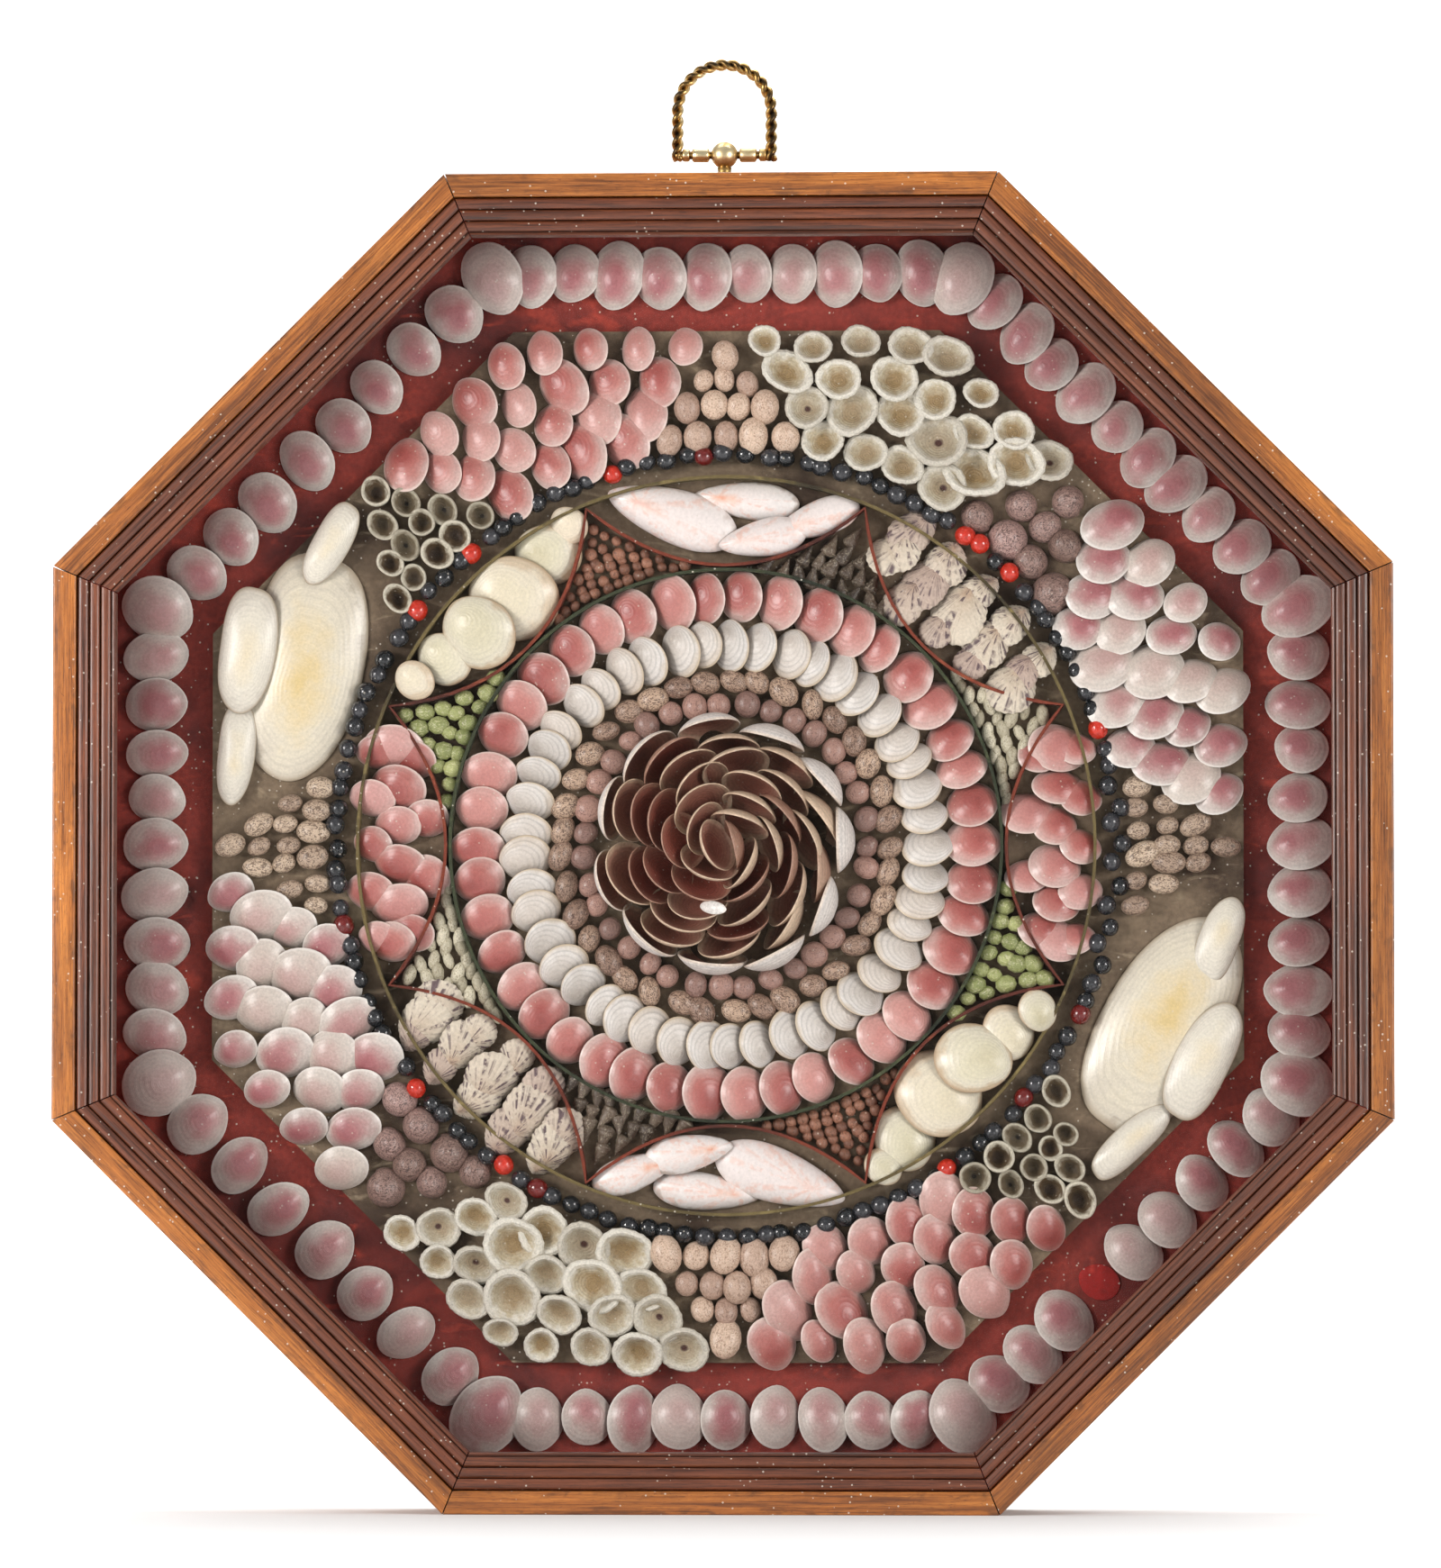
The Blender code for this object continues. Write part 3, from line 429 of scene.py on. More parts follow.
def paper_paint(name, base, bright, dark, roughness=0.85):
    """Old coloured paper: stains, faded and rubbed patches, fibres and specks."""
    paint = Paint(name, roughness)
    place = paint.place()
    stain = paint.noise(place, 26, 5, 0.8)
    colour = paint.ramp(stain, ((0.34, dark), (0.5, base), (0.64, base), (0.74, bright)))
    rub = paint.noise(paint.stretched(place, (1, 1, 2.5)), 75, 6, 1.2)
    colour = paint.mix(colour, linear(bright), paint.between(rub, 0.6, 0.72, 0, 0.7))
    grain = paint.noise(place, 900, 3)
    colour = paint.mix(colour, paint.between(grain, 0.3, 0.7, 0.78, 1.12), 1.0, "MULTIPLY")
    paint.colour(dusted(paint, colour, 0.7))
    paint.bump(paint.calc("ADD", grain, paint.calc("MULTIPLY", rub, 2)), 0.5, 0.12)
    return paint.material


def bead_paint(name, deep, other):
    paint = Paint(name, 0.12, coat_weight=0.5, coat_roughness=0.05)
    local = paint.attribute_vector("local")
    colour = paint.mix(linear(deep), linear(other), paint.attribute("shade"))
    cloud = paint.noise(local, 0.9, 3)
    paint.colour(dusted(paint, paint.mix(colour, paint.between(cloud, 0.3, 0.7, 0.7, 1.15), 1.0, "MULTIPLY")))
    paint.roughness(paint.between(cloud, 0.35, 0.7, 0.08, 0.35))
    return paint.material


def brass_paint():
    """Aged brass: worn gold on what stands out, dark patina in the grooves and in blotches."""
    paint = Paint("aged_brass", 0.35, metallic=1.0)
    place = paint.place()
    blotch = paint.noise(place, 260, 5, 0.8)
    worn = paint.attribute("growth")
    total = paint.calc("ADD", paint.calc("MULTIPLY", worn, 0.55), paint.calc("MULTIPLY", blotch, 0.75))
    stops = ((0.36, (62, 50, 36)), (0.55, (138, 108, 62)), (0.78, (206, 172, 112)), (0.95, (232, 214, 172)))
    paint.colour(paint.ramp(total, stops))
    paint.roughness(paint.between(blotch, 0.3, 0.7, 0.5, 0.24))
    paint.bump(paint.noise(place, 1500, 3), 0.35, 0.08)
    return paint.material


def glass_paint():
    """Clear glass: nearly see-through, with only a faint gloss and no milk of its own."""
    paint = Paint("clear_glass", 0.04, alpha=0.05)
    paint.colour((0.01, 0.014, 0.013))
    return paint.material


# Forms: skins of unit size, later scaled to each shell


class Form:
    """Rings of points joined into a skin, with growth from the umbo (0) to the margin (1)."""

    def __init__(self, rings, growth, ray=None):
        count, around, _ = rings.shape
        index = np.arange(count * around).reshape(count, around)
        after = np.roll(index, -1, axis=1)
        quads = np.stack((index[:-1], index[1:], after[1:], after[:-1]), -1).reshape(-1, 4)
        first, last = count * around, count * around + 1
        start = np.stack((np.full(around, first), index[0], after[0]), -1)
        end = np.stack((np.full(around, last), after[-1], index[-1]), -1)
        caps = np.stack((rings[0].mean(0), rings[-1].mean(0)))
        if ray is None:
            ray = np.arctan2(rings[..., 1], rings[..., 0])
        ray = np.broadcast_to(ray, (count, around))
        directions = np.stack((np.cos(ray), np.sin(ray)), -1).reshape(-1, 2)
        self.points = np.concatenate((rings.reshape(-1, 3), caps))
        self.quads = quads
        self.triangles = np.concatenate((start, end))
        self.growth = np.concatenate((growth.ravel(), (growth[0].mean(), growth[-1].mean())))
        self.ray = np.concatenate((directions, directions[:1] * 0, directions[-1:]))


def circle(segments):
    return 2 * math.pi * np.arange(segments) / segments


def growth_of(x, y, umbo):
    """0 at an umbo at (0, umbo), 1 on the unit circle, and even on circles scaled about the umbo."""
    a = umbo * umbo - 1
    b = 1 - y * umbo
    c = np.minimum(x * x + y * y - 1, 0)
    k = (-b + np.sqrt(np.maximum(b * b - a * c, 0))) / a
    return 1 - np.clip(k, 0, 1)


def lobes(around, amount, seed):
    """An uneven outline: 1 plus a few slow waves round the rim."""
    random = np.random.default_rng(seed)
    waves = [np.cos(n * around + random.uniform(0, 2 * math.pi)) / n for n in (2, 3, 5)]
    return 1 + amount * sum(waves)


def valve(
    rings=10, segments=32, umbo=0.3, peak=0.07, power=0.86, beak=0.03, ridges=0, depth=0.0,
    uneven=0.03, seed=1, taper=0.0, ribs=0, rib_depth=0.0, square=0.0,
):
    """A bivalve seen from outside: a low dome with its top drawn towards an umbo at +Y.

    taper narrows it towards the umbo, and square fills out its outline. Ridges follow the margin, and ribs run from
    the umbo and notch the margin.
    """
    around = circle(segments)
    offset = (around - math.pi / 2 + math.pi) % (2 * math.pi) - math.pi
    rim = 0.5 * (1 + beak * np.exp(-((offset / 0.38) ** 2))) * lobes(around, uneven, seed)
    full = 2 + square
    rim = rim * (np.abs(np.cos(around)) ** full + np.abs(np.sin(around)) ** full) ** (-1 / full)
    if ribs:
        rim = rim * (1 + 0.02 * np.cos(ribs * np.arctan2(np.sin(around) - umbo, np.cos(around))))
    share = np.sin(np.linspace(1 / rings, 1, rings) * math.pi / 2)[:, None]
    x = share * rim * np.cos(around)
    y = peak * (1 - share) + share * rim * np.sin(around)
    growth = growth_of(share * np.cos(around), 2 * peak * (1 - share) + share * np.sin(around), umbo)
    ray = np.arctan2(y - umbo / 2, x)
    z = np.maximum(1 - share**2, 0) ** power * np.ones_like(x)
    if ridges:
        z = z + depth * np.sin(2 * math.pi * ridges * growth) * (1 - share**6)
    if ribs:
        z = z + rib_depth * np.cos(ribs * ray) * share * (1 - share**10)
    x = x * (1 - taper * 2 * y)
    top = np.stack((x, y, z), -1)
    under = top[-1:] * (0.95, 0.95, 0) + (0, 0, -0.08)
    return Form(np.concatenate((top, under)), np.concatenate((growth, growth[-1:])), np.concatenate((ray, ray[-1:])))


def dish(depth, inner, seed, uneven=0.05, ribs=0, rib_depth=0.0, rings=8, segments=40):
    """An open shell lying mouth up: a hollow inside a rounded rim. growth is 0.6 at the rim."""
    around = circle(segments)
    profile = [(inner * t, 1 - depth * (1 - t * t) ** 0.75, 0.55 * t) for t in np.linspace(0.06, 1, rings)]
    profile += [((inner + 0.5) / 2, 1.03, 0.62), (0.495, 0.96, 0.7), (0.5, 0.84, 0.76)]
    profile += [(0.47, 0.5, 0.86), (0.38, 0.0, 1.0)]
    radius, height, growth = (np.array(column)[:, None] for column in zip(*profile))
    outline = lobes(around, uneven, seed) * (1 + rib_depth * np.cos(ribs * around))
    outline = 1 + (outline - 1) * np.minimum(radius / 0.4, 1)
    waves = 0.05 * np.cos(2 * around + seed) * np.minimum(radius / 0.5, 1)
    rings = np.stack((radius * outline * np.cos(around), radius * outline * np.sin(around), height + waves), -1)
    return Form(rings, growth * np.ones_like(rings[..., 0]))


def nerite(rings=16, segments=40, whorls=2.2, groove=0.035):
    """A small round snail seen on its spire: a dome with a spiral groove that ends in a lip."""
    around = circle(segments)
    share = np.sin(np.linspace(1 / rings, 1, rings) * math.pi / 2)[:, None]
    rim = 0.5 * (0.9 + 0.1 * around / (2 * math.pi))
    x = share * rim * np.cos(around)
    y = 0.05 * (1 - share) + share * rim * np.sin(around)
    dome = np.maximum(1 - share**2, 0) ** 0.6
    z = dome - groove * np.cos(around - 2 * math.pi * whorls * share) ** 8 * (1 - share**8)
    top = np.stack((x, y, z * np.ones_like(x)), -1)
    under = top[-1:] * (0.9, 0.9, 0) + (0, 0, -0.08)
    growth = share * np.ones_like(x)
    return Form(np.concatenate((top, under)), np.concatenate((growth, growth[-1:])))


def turned_form(profile, segments):
    """Rings from a (radius, height) profile, top to bottom."""
    around = circle(segments)
    radius = np.array([point[0] for point in profile])[:, None]
    height = np.array([point[1] for point in profile])[:, None]
    rings = np.stack((radius * np.cos(around), radius * np.sin(around), height * np.ones_like(around)), -1)
    growth = np.linspace(0, 1, len(profile))[:, None] * np.ones_like(rings[..., 0])
    return Form(rings, growth)


def ball(rings=8, segments=12, flat=0.0):
    """A ball of unit width, cut flat underneath where flat is over 0."""
    turns = np.linspace(0.06, 1 - max(flat, 0.06), rings) * math.pi
    return turned_form([(0.5 * math.sin(t), 0.5 + 0.5 * math.cos(t)) for t in turns], segments)


def bead_form(rings=12, segments=18, dimple=0.1):
    """A round glass bead, its thread hole a dimple at each end of X."""
    turns = np.linspace(0.12, math.pi - 0.12, rings)
    profile = [(0.5 * math.sin(t), 0.47 * math.cos(t)) for t in turns]
    profile = [(0.03, 0.47 - dimple)] + profile + [(0.03, dimple - 0.47)]
    bead = turned_form(profile, segments)
    bead.points = bead.points[:, (2, 0, 1)] + (0, 0, 0.5)
    return bead


def cone(segments=14):
    """A pointed snail lying down: its tip at +Y, with a few whorls."""
    profile = [(0.02, 0.5)]
    for step in range(1, 17):
        share = step / 16
        whorl = 1 + 0.07 * math.cos(2 * math.pi * 4.5 * share)
        narrow = 1 - max(share - 0.86, 0) * 3
        profile.append((0.5 * min(share / 0.82, 1.0) ** 0.9 * whorl * narrow, 0.5 - share))
    lying = turned_form(profile, segments)
    lying.points = lying.points[:, (1, 2, 0)] + (0, 0, 0.4)
    return lying


def cup(rings=8, segments=32, depth=0.26):
    """A petal: a thin round bowl that opens towards +Z, its outer face downwards."""
    around = circle(segments)
    share = np.sin(np.linspace(1 / rings, 1, rings) * math.pi / 2)[:, None]
    rim = 0.5 * (1 + 0.04 * np.exp(-(((around - math.pi / 2) / 0.4) ** 2)))
    x = share * rim * np.cos(around)
    y = 0.12 * (1 - share) + share * rim * np.sin(around)
    bowl = -depth * np.maximum(1 - share**2, 0) ** 0.8 * np.ones_like(x)
    thick = 0.05 * (1 - 0.55 * share) * np.ones_like(x)
    inside = np.stack((x * 0.985, y * 0.985, bowl + thick), -1)
    outside = np.stack((x, y, bowl), -1)[::-1]
    lip = np.stack((x[-1:] * 1.005, y[-1:] * 1.005, bowl[-1:] + 0.012), -1)
    growth = share * np.ones_like(x)
    growth = np.concatenate((growth, growth[-1:], 2 - growth[::-1]))
    return Form(np.concatenate((inside, lip, outside)), growth)


VALVES = [valve(seed=seed) for seed in range(5)]
RIDGED_VALVES = [valve(14, 40, umbo=0.6, ridges=4, depth=0.012, uneven=0.02, seed=seed) for seed in range(4)]
TELLIN = valve(18, 64, umbo=0.2, peak=0.05, power=0.8, beak=0.03, uneven=0.05, seed=11, taper=0.05, square=0.5)
COQUINA = valve(16, 56, umbo=0.55, peak=0.08, power=0.76, beak=0.05, uneven=0.03, seed=12, taper=0.26)
PEARL_VALVES = [valve(14, 44, umbo=0.55, peak=0.06, power=0.74, uneven=0.03, seed=seed) for seed in (21, 22, 23)]
SCALLOPS = [
    valve(14, 96, 0.8, 0.12, 0.7, 0.08, uneven=0.04, seed=seed, taper=0.1, ribs=36, rib_depth=0.03)
    for seed in (24, 25, 26)
]
LIMPETS = [dish(0.8, 0.385, seed, 0.07, 17, 0.018) for seed in range(31, 36)]
RING_SHELLS = [dish(0.92, 0.41, seed, 0.03) for seed in (41, 42, 43)]
SEED = ball(10, 16, 0.3)
TINY_SEED = ball(6, 9, 0.3)
RICE = ball(7, 10, 0.3)
CONE = cone()
BEAD = bead_form()
NERITE = nerite()
CUP = cup()


class Heap:
    """Forms gathered into one mesh, each point with what the materials read."""

    def __init__(self, seed):
        self.random = np.random.default_rng(seed)
        self.points, self.quads, self.triangles = [], [], []
        self.values = {"growth": [], "shade": [], "ray": [], "local": []}
        self.total = 0

    def add(self, form, centre, size, heading=90.0, tip=0.0, roll=0.0, shade=None):
        """Puts a form at a centre on the face, its own +Y towards the heading, in millimetres and degrees."""
        scaled = form.points * np.asarray(size, float)
        turned = scaled @ rotation(heading - 90, tip, roll).T + np.asarray(centre, float)
        offset = self.random.uniform(-400, 400, 3)
        if shade is None:
            shade = self.random.random()
        count = len(scaled)
        self.points.append(turned)
        self.quads.append(form.quads + self.total)
        self.triangles.append(form.triangles + self.total)
        self.values["growth"].append(form.growth)
        self.values["shade"].append(np.full(count, shade))
        depth = np.full((count, 1), offset[2])
        self.values["ray"].append(np.hstack((form.ray, depth)))
        self.values["local"].append(scaled + offset)
        self.total += count

    def vary(self, amount):
        return self.random.uniform(-amount, amount)


def finish_piece(obj, material, replaces=(), body="case"):
    bpy.context.scene.collection.objects.link(obj)
    obj.data.materials.append(material)
    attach(obj, body)
    if replaces:
        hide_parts(*replaces)


def pour(name, heap, material, replaces=(), body="case"):
    """Makes a heap into one smooth mesh that rides on a body."""
    mesh = bpy.data.meshes.new(name)
    faces = np.concatenate(heap.quads).tolist() + np.concatenate(heap.triangles).tolist()
    mesh.from_pydata(in_frame(np.concatenate(heap.points)).tolist(), [], faces)
    for label, parts in heap.values.items():
        values = np.concatenate(parts)
        kind, field = ("FLOAT", "value") if values.ndim == 1 else ("FLOAT_VECTOR", "vector")
        mesh.attributes.new(label, kind, "POINT").data.foreach_set(field, values.ravel())
    mesh.shade_smooth()
    finish_piece(bpy.data.objects.new(name, mesh), material, replaces, body)


# Wood: eight boards and eight mouldings with mitred ends


def mitred_side(name, profile, index, material, replaces):
    """A profile of (apothem, depth, groove) points drawn along one side of the octagon."""
    heap = Heap(100 + index)
    cut = CLEARANCE / 2 * SLANT
    ends = []
    for side in (-1, 1):
        ends.append([(a, side * (a * MITRE - cut), z) for a, z, _ in profile])
    points = np.array(ends).reshape(-1, 3)
    count = len(profile)
    faces = [tuple(range(count)), tuple(range(2 * count - 1, count - 1, -1))]
    for i in range(count):
        j = (i + 1) % count
        faces.append((i, i + count, j + count, j))
    spin = rotation(index * STEP)
    mesh = bpy.data.meshes.new(name)
    mesh.from_pydata(in_frame(points @ spin.T).tolist(), [], faces)
    growth = np.array([g for _, _, g in profile] * 2)
    local = np.stack((points[:, 1], points[:, 0], points[:, 2]), -1) + heap.random.uniform(-500, 500, 3)
    # The wood darkens from the left side to the right one.
    shade = np.full(2 * count, 0.5 + 0.5 * math.cos(math.radians(index * STEP)))
    mesh.attributes.new("growth", "FLOAT", "POINT").data.foreach_set("value", growth)
    mesh.attributes.new("shade", "FLOAT", "POINT").data.foreach_set("value", shade)
    mesh.attributes.new("local", "FLOAT_VECTOR", "POINT").data.foreach_set("vector", local.ravel())
    mesh.shade_smooth()
    mesh.set_sharp_from_angle(angle=math.radians(35))
    finish_piece(bpy.data.objects.new(name, mesh), material, replaces)


def rounded(corners, radius, steps=4, wear=2.0):
    """A closed profile with each corner drawn as an arc. growth is 1 on the arcs and falls to 0 within the wear."""
    points = []
    count = len(corners)
    for i in range(count):
        here = np.array(corners[i], float)
        before = np.array(corners[i - 1], float) - here
        after = np.array(corners[(i + 1) % count], float) - here
        before = before / np.linalg.norm(before)
        after = after / np.linalg.norm(after)
        points.append((*(here + before * (radius + wear)), 0.0))
        for step in range(steps + 1):
            t = step / steps
            point = here + radius * (before * (1 - t) ** 2 + after * t**2)
            points.append((*point, 1.0))
        points.append((*(here + after * (radius + wear)), 0.0))
    return points


REED_PITCH = 2.8
REED_RISE = 1.0
REED_DROP = 0.9
MOULDING_INSET = 0.5
MOULDING_DEPTH = 9.0
LIP = 1.0


def moulding_profile():
    """Three fine reeds that step down inwards, a plain lip and a flat back."""
    points = []
    for reed in range(3):
        start = INNER - CLEARANCE - reed * REED_PITCH
        foot = FRONT - MOULDING_INSET - REED_RISE - reed * REED_DROP
        for step in range(13):
            turn = math.pi * step / 12
            rise = math.sin(turn) ** 0.7
            points.append((start - REED_PITCH * (1 - math.cos(turn)) / 2, foot + REED_RISE * rise, rise))
    foot = points[-1][1]
    inner = points[-1][0] - LIP
    back = FRONT - MOULDING_DEPTH
    points += [(inner + 0.25, foot + 0.35, 0.9), (inner, foot + 0.1, 1.0), (inner, back, 0.8)]
    points.append((INNER - CLEARANCE, back, 0.5))
    return points


def make_wood():
    amber = wood_paint("amber_wood", (192, 118, 46), (160, 92, 33), (108, 59, 23), 0.36)
    dark = wood_paint("dark_wood", (126, 66, 36), (100, 50, 27), (60, 30, 17), 0.36, (24, 10, 6), 0.3)
    board = rounded(((OUTER, FRONT), (OUTER, BACK), (INNER, BACK), (INNER, FRONT)), 0.6)
    board = board[::-1]
    reeds = moulding_profile()
    for index, place in enumerate(PLACES):
        mitred_side(f"{place}_board", board, index, amber, (f"case_side_{place}",))
        mitred_side(f"{place}_reeds", reeds, index, dark, (f"reeded_moulding_{place}",))


# Compartments of the mosaic, as in the part's source


def corner_edges(index):
    middle = (index + 0.5) * STEP
    corner = polar(TILES_OUT * SLANT, middle)

    def inner(share):
        return polar(TILES_IN_R, middle + share * (STEP / 2 - WEDGE_HALF_ANGLE))

    def outer(share):
        end = polar(TILES_OUT, middle + math.copysign(STEP / 2, share))
        return corner + (end - corner) * abs(share)

    return inner, outer, middle


def wedge_edges(index):
    middle = index * STEP
    point = polar(TILES_OUT, middle)

    def inner(share):
        return polar(TILES_IN_R, middle + share * WEDGE_HALF_ANGLE)

    def outer(share):
        return point

    return inner, outer, middle


def scallop_point(share):
    """The scalloped strip beside the lens on the +X axis, share running from -1 to 1."""
    half = math.radians(STEP / 2)
    chord = CUSP_R * math.cos(half)
    return np.array((chord - (chord - SCALLOP_R) * (1 - share * share), CUSP_R * math.sin(half) * share))


def lens_edges(index):
    middle = index * STEP
    spin = rotation(middle)[:2, :2]

    def inner(share):
        return spin @ scallop_point(share)

    def outer(share):
        half = CUSP_R * math.sin(math.radians(STEP / 2)) * share
        return polar(OUTER_STRIP_R, middle + math.degrees(math.asin(half / OUTER_STRIP_R)))

    return inner, outer, middle


def spot(edges, share, out):
    inner, outer, _ = edges
    start = inner(share)
    return start + (outer(share) - start) * out


def lay_rows(
    heap, forms, edges, rows, size, lift=0.0, span=0.95, vary=0.12, jitter=0.6, heading=0.0, tip=0.0, roll=0.0
):
    """Shells in rows across a compartment. A row is (out, count, scale); heading is counted from outwards."""
    middle = edges[2]
    for out, count, scale in rows:
        for i in range(count):
            share = span * ((2 * i + 1) / count - 1)
            x, y = spot(edges, share, out + heap.vary(0.015)) + (heap.vary(jitter), heap.vary(jitter))
            grown = scale * (1 + heap.vary(vary))
            form = forms[heap.random.integers(len(forms))]
            dims = np.array(size) * grown * (1, 1 + heap.vary(0.1), 1 + heap.vary(0.15))
            turn = middle + heading + heap.vary(18)
            height = ON_BED + lift + heap.random.uniform(0, 0.5)
            heap.add(form, (x, y, height), dims, turn, tip + heap.vary(8), roll + heap.vary(8))


def lay_one(heap, form, edges, share, out, size, turn, base=ON_BED, tip=0.0, roll=0.0, shade=None):
    x, y = spot(edges, share, out)
    heap.add(form, (x, y, base), size, edges[2] + turn, tip, roll, shade)


PINK_STOPS = (
    (0.0, (164, 82, 76)),
    (0.3, (180, 96, 90)),
    (0.6, (194, 120, 112)),
    (0.82, (206, 154, 146)),
    (1.0, (214, 182, 174)),
)
# Pale margin, brightened as painted light along the edge.
PINK_RIM_AND_EDGE_LIGHT = (230, 210, 200)
GREY_STOPS = (
    (0.0, (174, 104, 108)),
    (0.3, (186, 120, 122)),
    (0.58, (198, 156, 152)),
    (0.82, (216, 198, 190)),
    (1.0, (228, 219, 211)),
)
# Pale margin, brightened as painted light along the edge.
GREY_RIM_AND_EDGE_LIGHT = (242, 236, 229)

# Long valves of the two tellin corners: share across, share out, (width, length, height), turn, lift
LEFT_TELLINS = (
    (-0.04, 0.40, (29.5, 59.4, 5.0), 100.5, 0.3),
    (0.01, 0.77, (14.5, 33.0, 3.0), 103.5, 4.6),
    (0.58, 0.84, (9.6, 26.7, 2.6), 105.5, 2.4),
    (-0.72, 0.86, (9.6, 23.4, 2.6), 82.5, 3.4),
)
RIGHT_TELLINS = (
    (0.0, 0.46, (30.0, 60.5, 5.0), 82.5, 0.3),
    (0.57, 0.84, (10.4, 23.0, 2.6), 90.5, 3.2),
    (-0.1, 0.83, (14.2, 32.5, 3.0), 84.5, 4.4),
    (-0.665, 0.86, (9.0, 26.0, 2.6), 64.5, 2.6),
)


def make_corners():
    pinks = shell_paint("pink_shells", PINK_STOPS, (204, 162, 154), 7, 0.08, 0.2, 0.33, 0.05, 0.25, PINK_RIM_AND_EDGE_LIGHT)
    limpets = dish_paint(
        "limpet_shells",
        (158, 132, 92), (200, 186, 158), (234, 228, 214), (206, 196, 176), (74, 40, 32), (186, 176, 158),
    )
    ovals = shell_paint("pearl_oval_shells", GREY_STOPS, (204, 192, 180), 7, 0.08, 0.22, 0.33, 0.05, 0.3, GREY_RIM_AND_EDGE_LIGHT)
    # The tellins darken to grey-brown towards the margin and along the rim line: painted shade at their edges.
    tellins = shell_paint(
        "tellin_shells",
        (
            (0.0, (234, 208, 150)),
            (0.3, (238, 220, 182)),
            (0.62, (236, 226, 204)),
            (0.95, (226, 216, 198)),
            (1.0, (206, 194, 176)),
        ),
        (226, 222, 212), 13, 0.1, 0.14, 0.26, 0.05, 0.35, (176, 160, 138),
    )
    for index in range(SIDES):
        edges = corner_edges(index)
        heap = Heap(200 + index)
        kind = ("pearl_ovals", "limpets", "pinks", "tellins")[index % 4]
        if kind == "pinks":
            rows = ((0.14, 4, 1.05), (0.38, 5, 1.05), (0.63, 6, 1.0), (0.87, 8, 0.94))
            lay_rows(heap, VALVES, edges, rows, (11.6, 14.0, 2.8), 2.0, jitter=0.9, tip=-17, roll=-15, vary=0.16)
            material = pinks
        elif kind == "limpets":
            rows = ((0.15, 4, 1.05), (0.41, 5, 1.15), (0.66, 6, 1.1), (0.9, 8, 0.9))
            lay_rows(heap, LIMPETS, edges, rows, (12.5, 11.4, 3.2), 1.2, jitter=0.9, tip=-14, roll=-8, vary=0.2)
            material = limpets
        elif kind == "pearl_ovals":
            rows = ((0.13, 4, 1.05), (0.38, 5, 1.05), (0.63, 6, 1.0), (0.87, 7, 0.98))
            lay_rows(heap, VALVES, edges, rows, (12.4, 14.2, 2.9), 2.2, jitter=0.9, tip=-12, roll=-20, vary=0.16)
            material = ovals
        else:
            for share, out, size, turn, lift in LEFT_TELLINS if index == 3 else RIGHT_TELLINS:
                # The large valve keeps the warmer colours.
                shade = 0.3 if size[0] > 20 else 0.8
                lay_one(heap, TELLIN, edges, share, out, size, turn, ON_BED + lift, shade=shade)
            material = tellins
        node = f"corner_{index + 1}_{kind}"
        pour(f"{node}_shells", heap, material, (node,))


def make_wedges():
    nerites = speckled_paint("tan_nerite_shells", (216, 190, 168), (196, 164, 146), (154, 122, 102), 1.5, 0.53, 0.34)
    rings = dish_paint(
        "cut_ring_shells",
        (64, 46, 30), (106, 86, 62), (222, 214, 194), (162, 152, 130), (36, 26, 20), (134, 122, 98),
    )
    mottled = speckled_paint("mottled_seed_shells", (206, 184, 160), (176, 150, 130), (88, 64, 50), 1.4, 0.49, 0.38)
    brown = speckled_paint("brown_nerite_shells", (182, 150, 142), (150, 122, 110), (70, 50, 48), 1.7, 0.5, 0.34)
    for index, place in enumerate(PLACES):
        edges = wedge_edges(index)
        heap = Heap(300 + index)
        kind = ("mottled_seeds", "brown_nerites", "nerites", "ring_shells")[index % 4]
        if kind == "nerites":
            rows = ((0.12, 5, 1.0), (0.37, 4, 0.95), (0.6, 3, 0.8), (0.83, 1, 1.0))
            lay_rows(heap, (SEED,), edges, rows, (7.4, 8.8, 5.6), jitter=0.4, tip=8, vary=0.14)
            material = nerites
        elif kind == "ring_shells":
            rows = ((0.12, 5, 1.0), (0.39, 4, 0.9), (0.65, 2, 1.0), (0.87, 1, 1.0))
            lay_rows(heap, RING_SHELLS, edges, rows, (7.4, 8.6, 4.6), jitter=0.4, span=0.98, vary=0.1)
            material = rings
        elif kind == "mottled_seeds":
            rows = ((0.12, 6, 1.0), (0.38, 5, 0.95), (0.63, 3, 0.95), (0.86, 1, 1.1))
            lay_rows(heap, (SEED,), edges, rows, (5.6, 7.8, 4.6), jitter=0.5, heading=12, vary=0.16)
            material = mottled
        else:
            rows = ((0.14, 4, 0.95), (0.46, 3, 0.85), (0.76, 1, 0.95))
            lay_rows(heap, (NERITE,), edges, rows, (10.6, 10.6, 5.6), jitter=0.6, tip=6, vary=0.14)
            material = brown
        node = f"{place}_wedge_{kind}"
        pour(f"{node}_shells", heap, material, (node,))


# Coquinas: share across, share out, (width, length, height), turn, lift
COQUINAS = (
    (-0.15, 0.74, (9.6, 27.0, 3.2), 84.0, 0.6),
    (0.38, 0.55, (14.0, 34.5, 3.8), 70.0, 2.0),
    (-0.66, 0.42, (9.2, 22.5, 3.0), 108.0, 2.6),
    (-0.27, 0.28, (9.6, 22.5, 3.2), 99.0, 3.6),
)
# Pearl clams: share across, share out, width, lift
PEARLS = (
    (-0.58, 0.55, 16.0, 1.4),
    (-0.18, 0.5, 22.0, 2.6),
    (0.17, 0.5, 18.5, 5.8),
    (0.48, 0.55, 13.5, 3.4),
    (-0.83, 0.6, 9.5, 3.6),
    (0.74, 0.6, 10.0, 5.6),
)


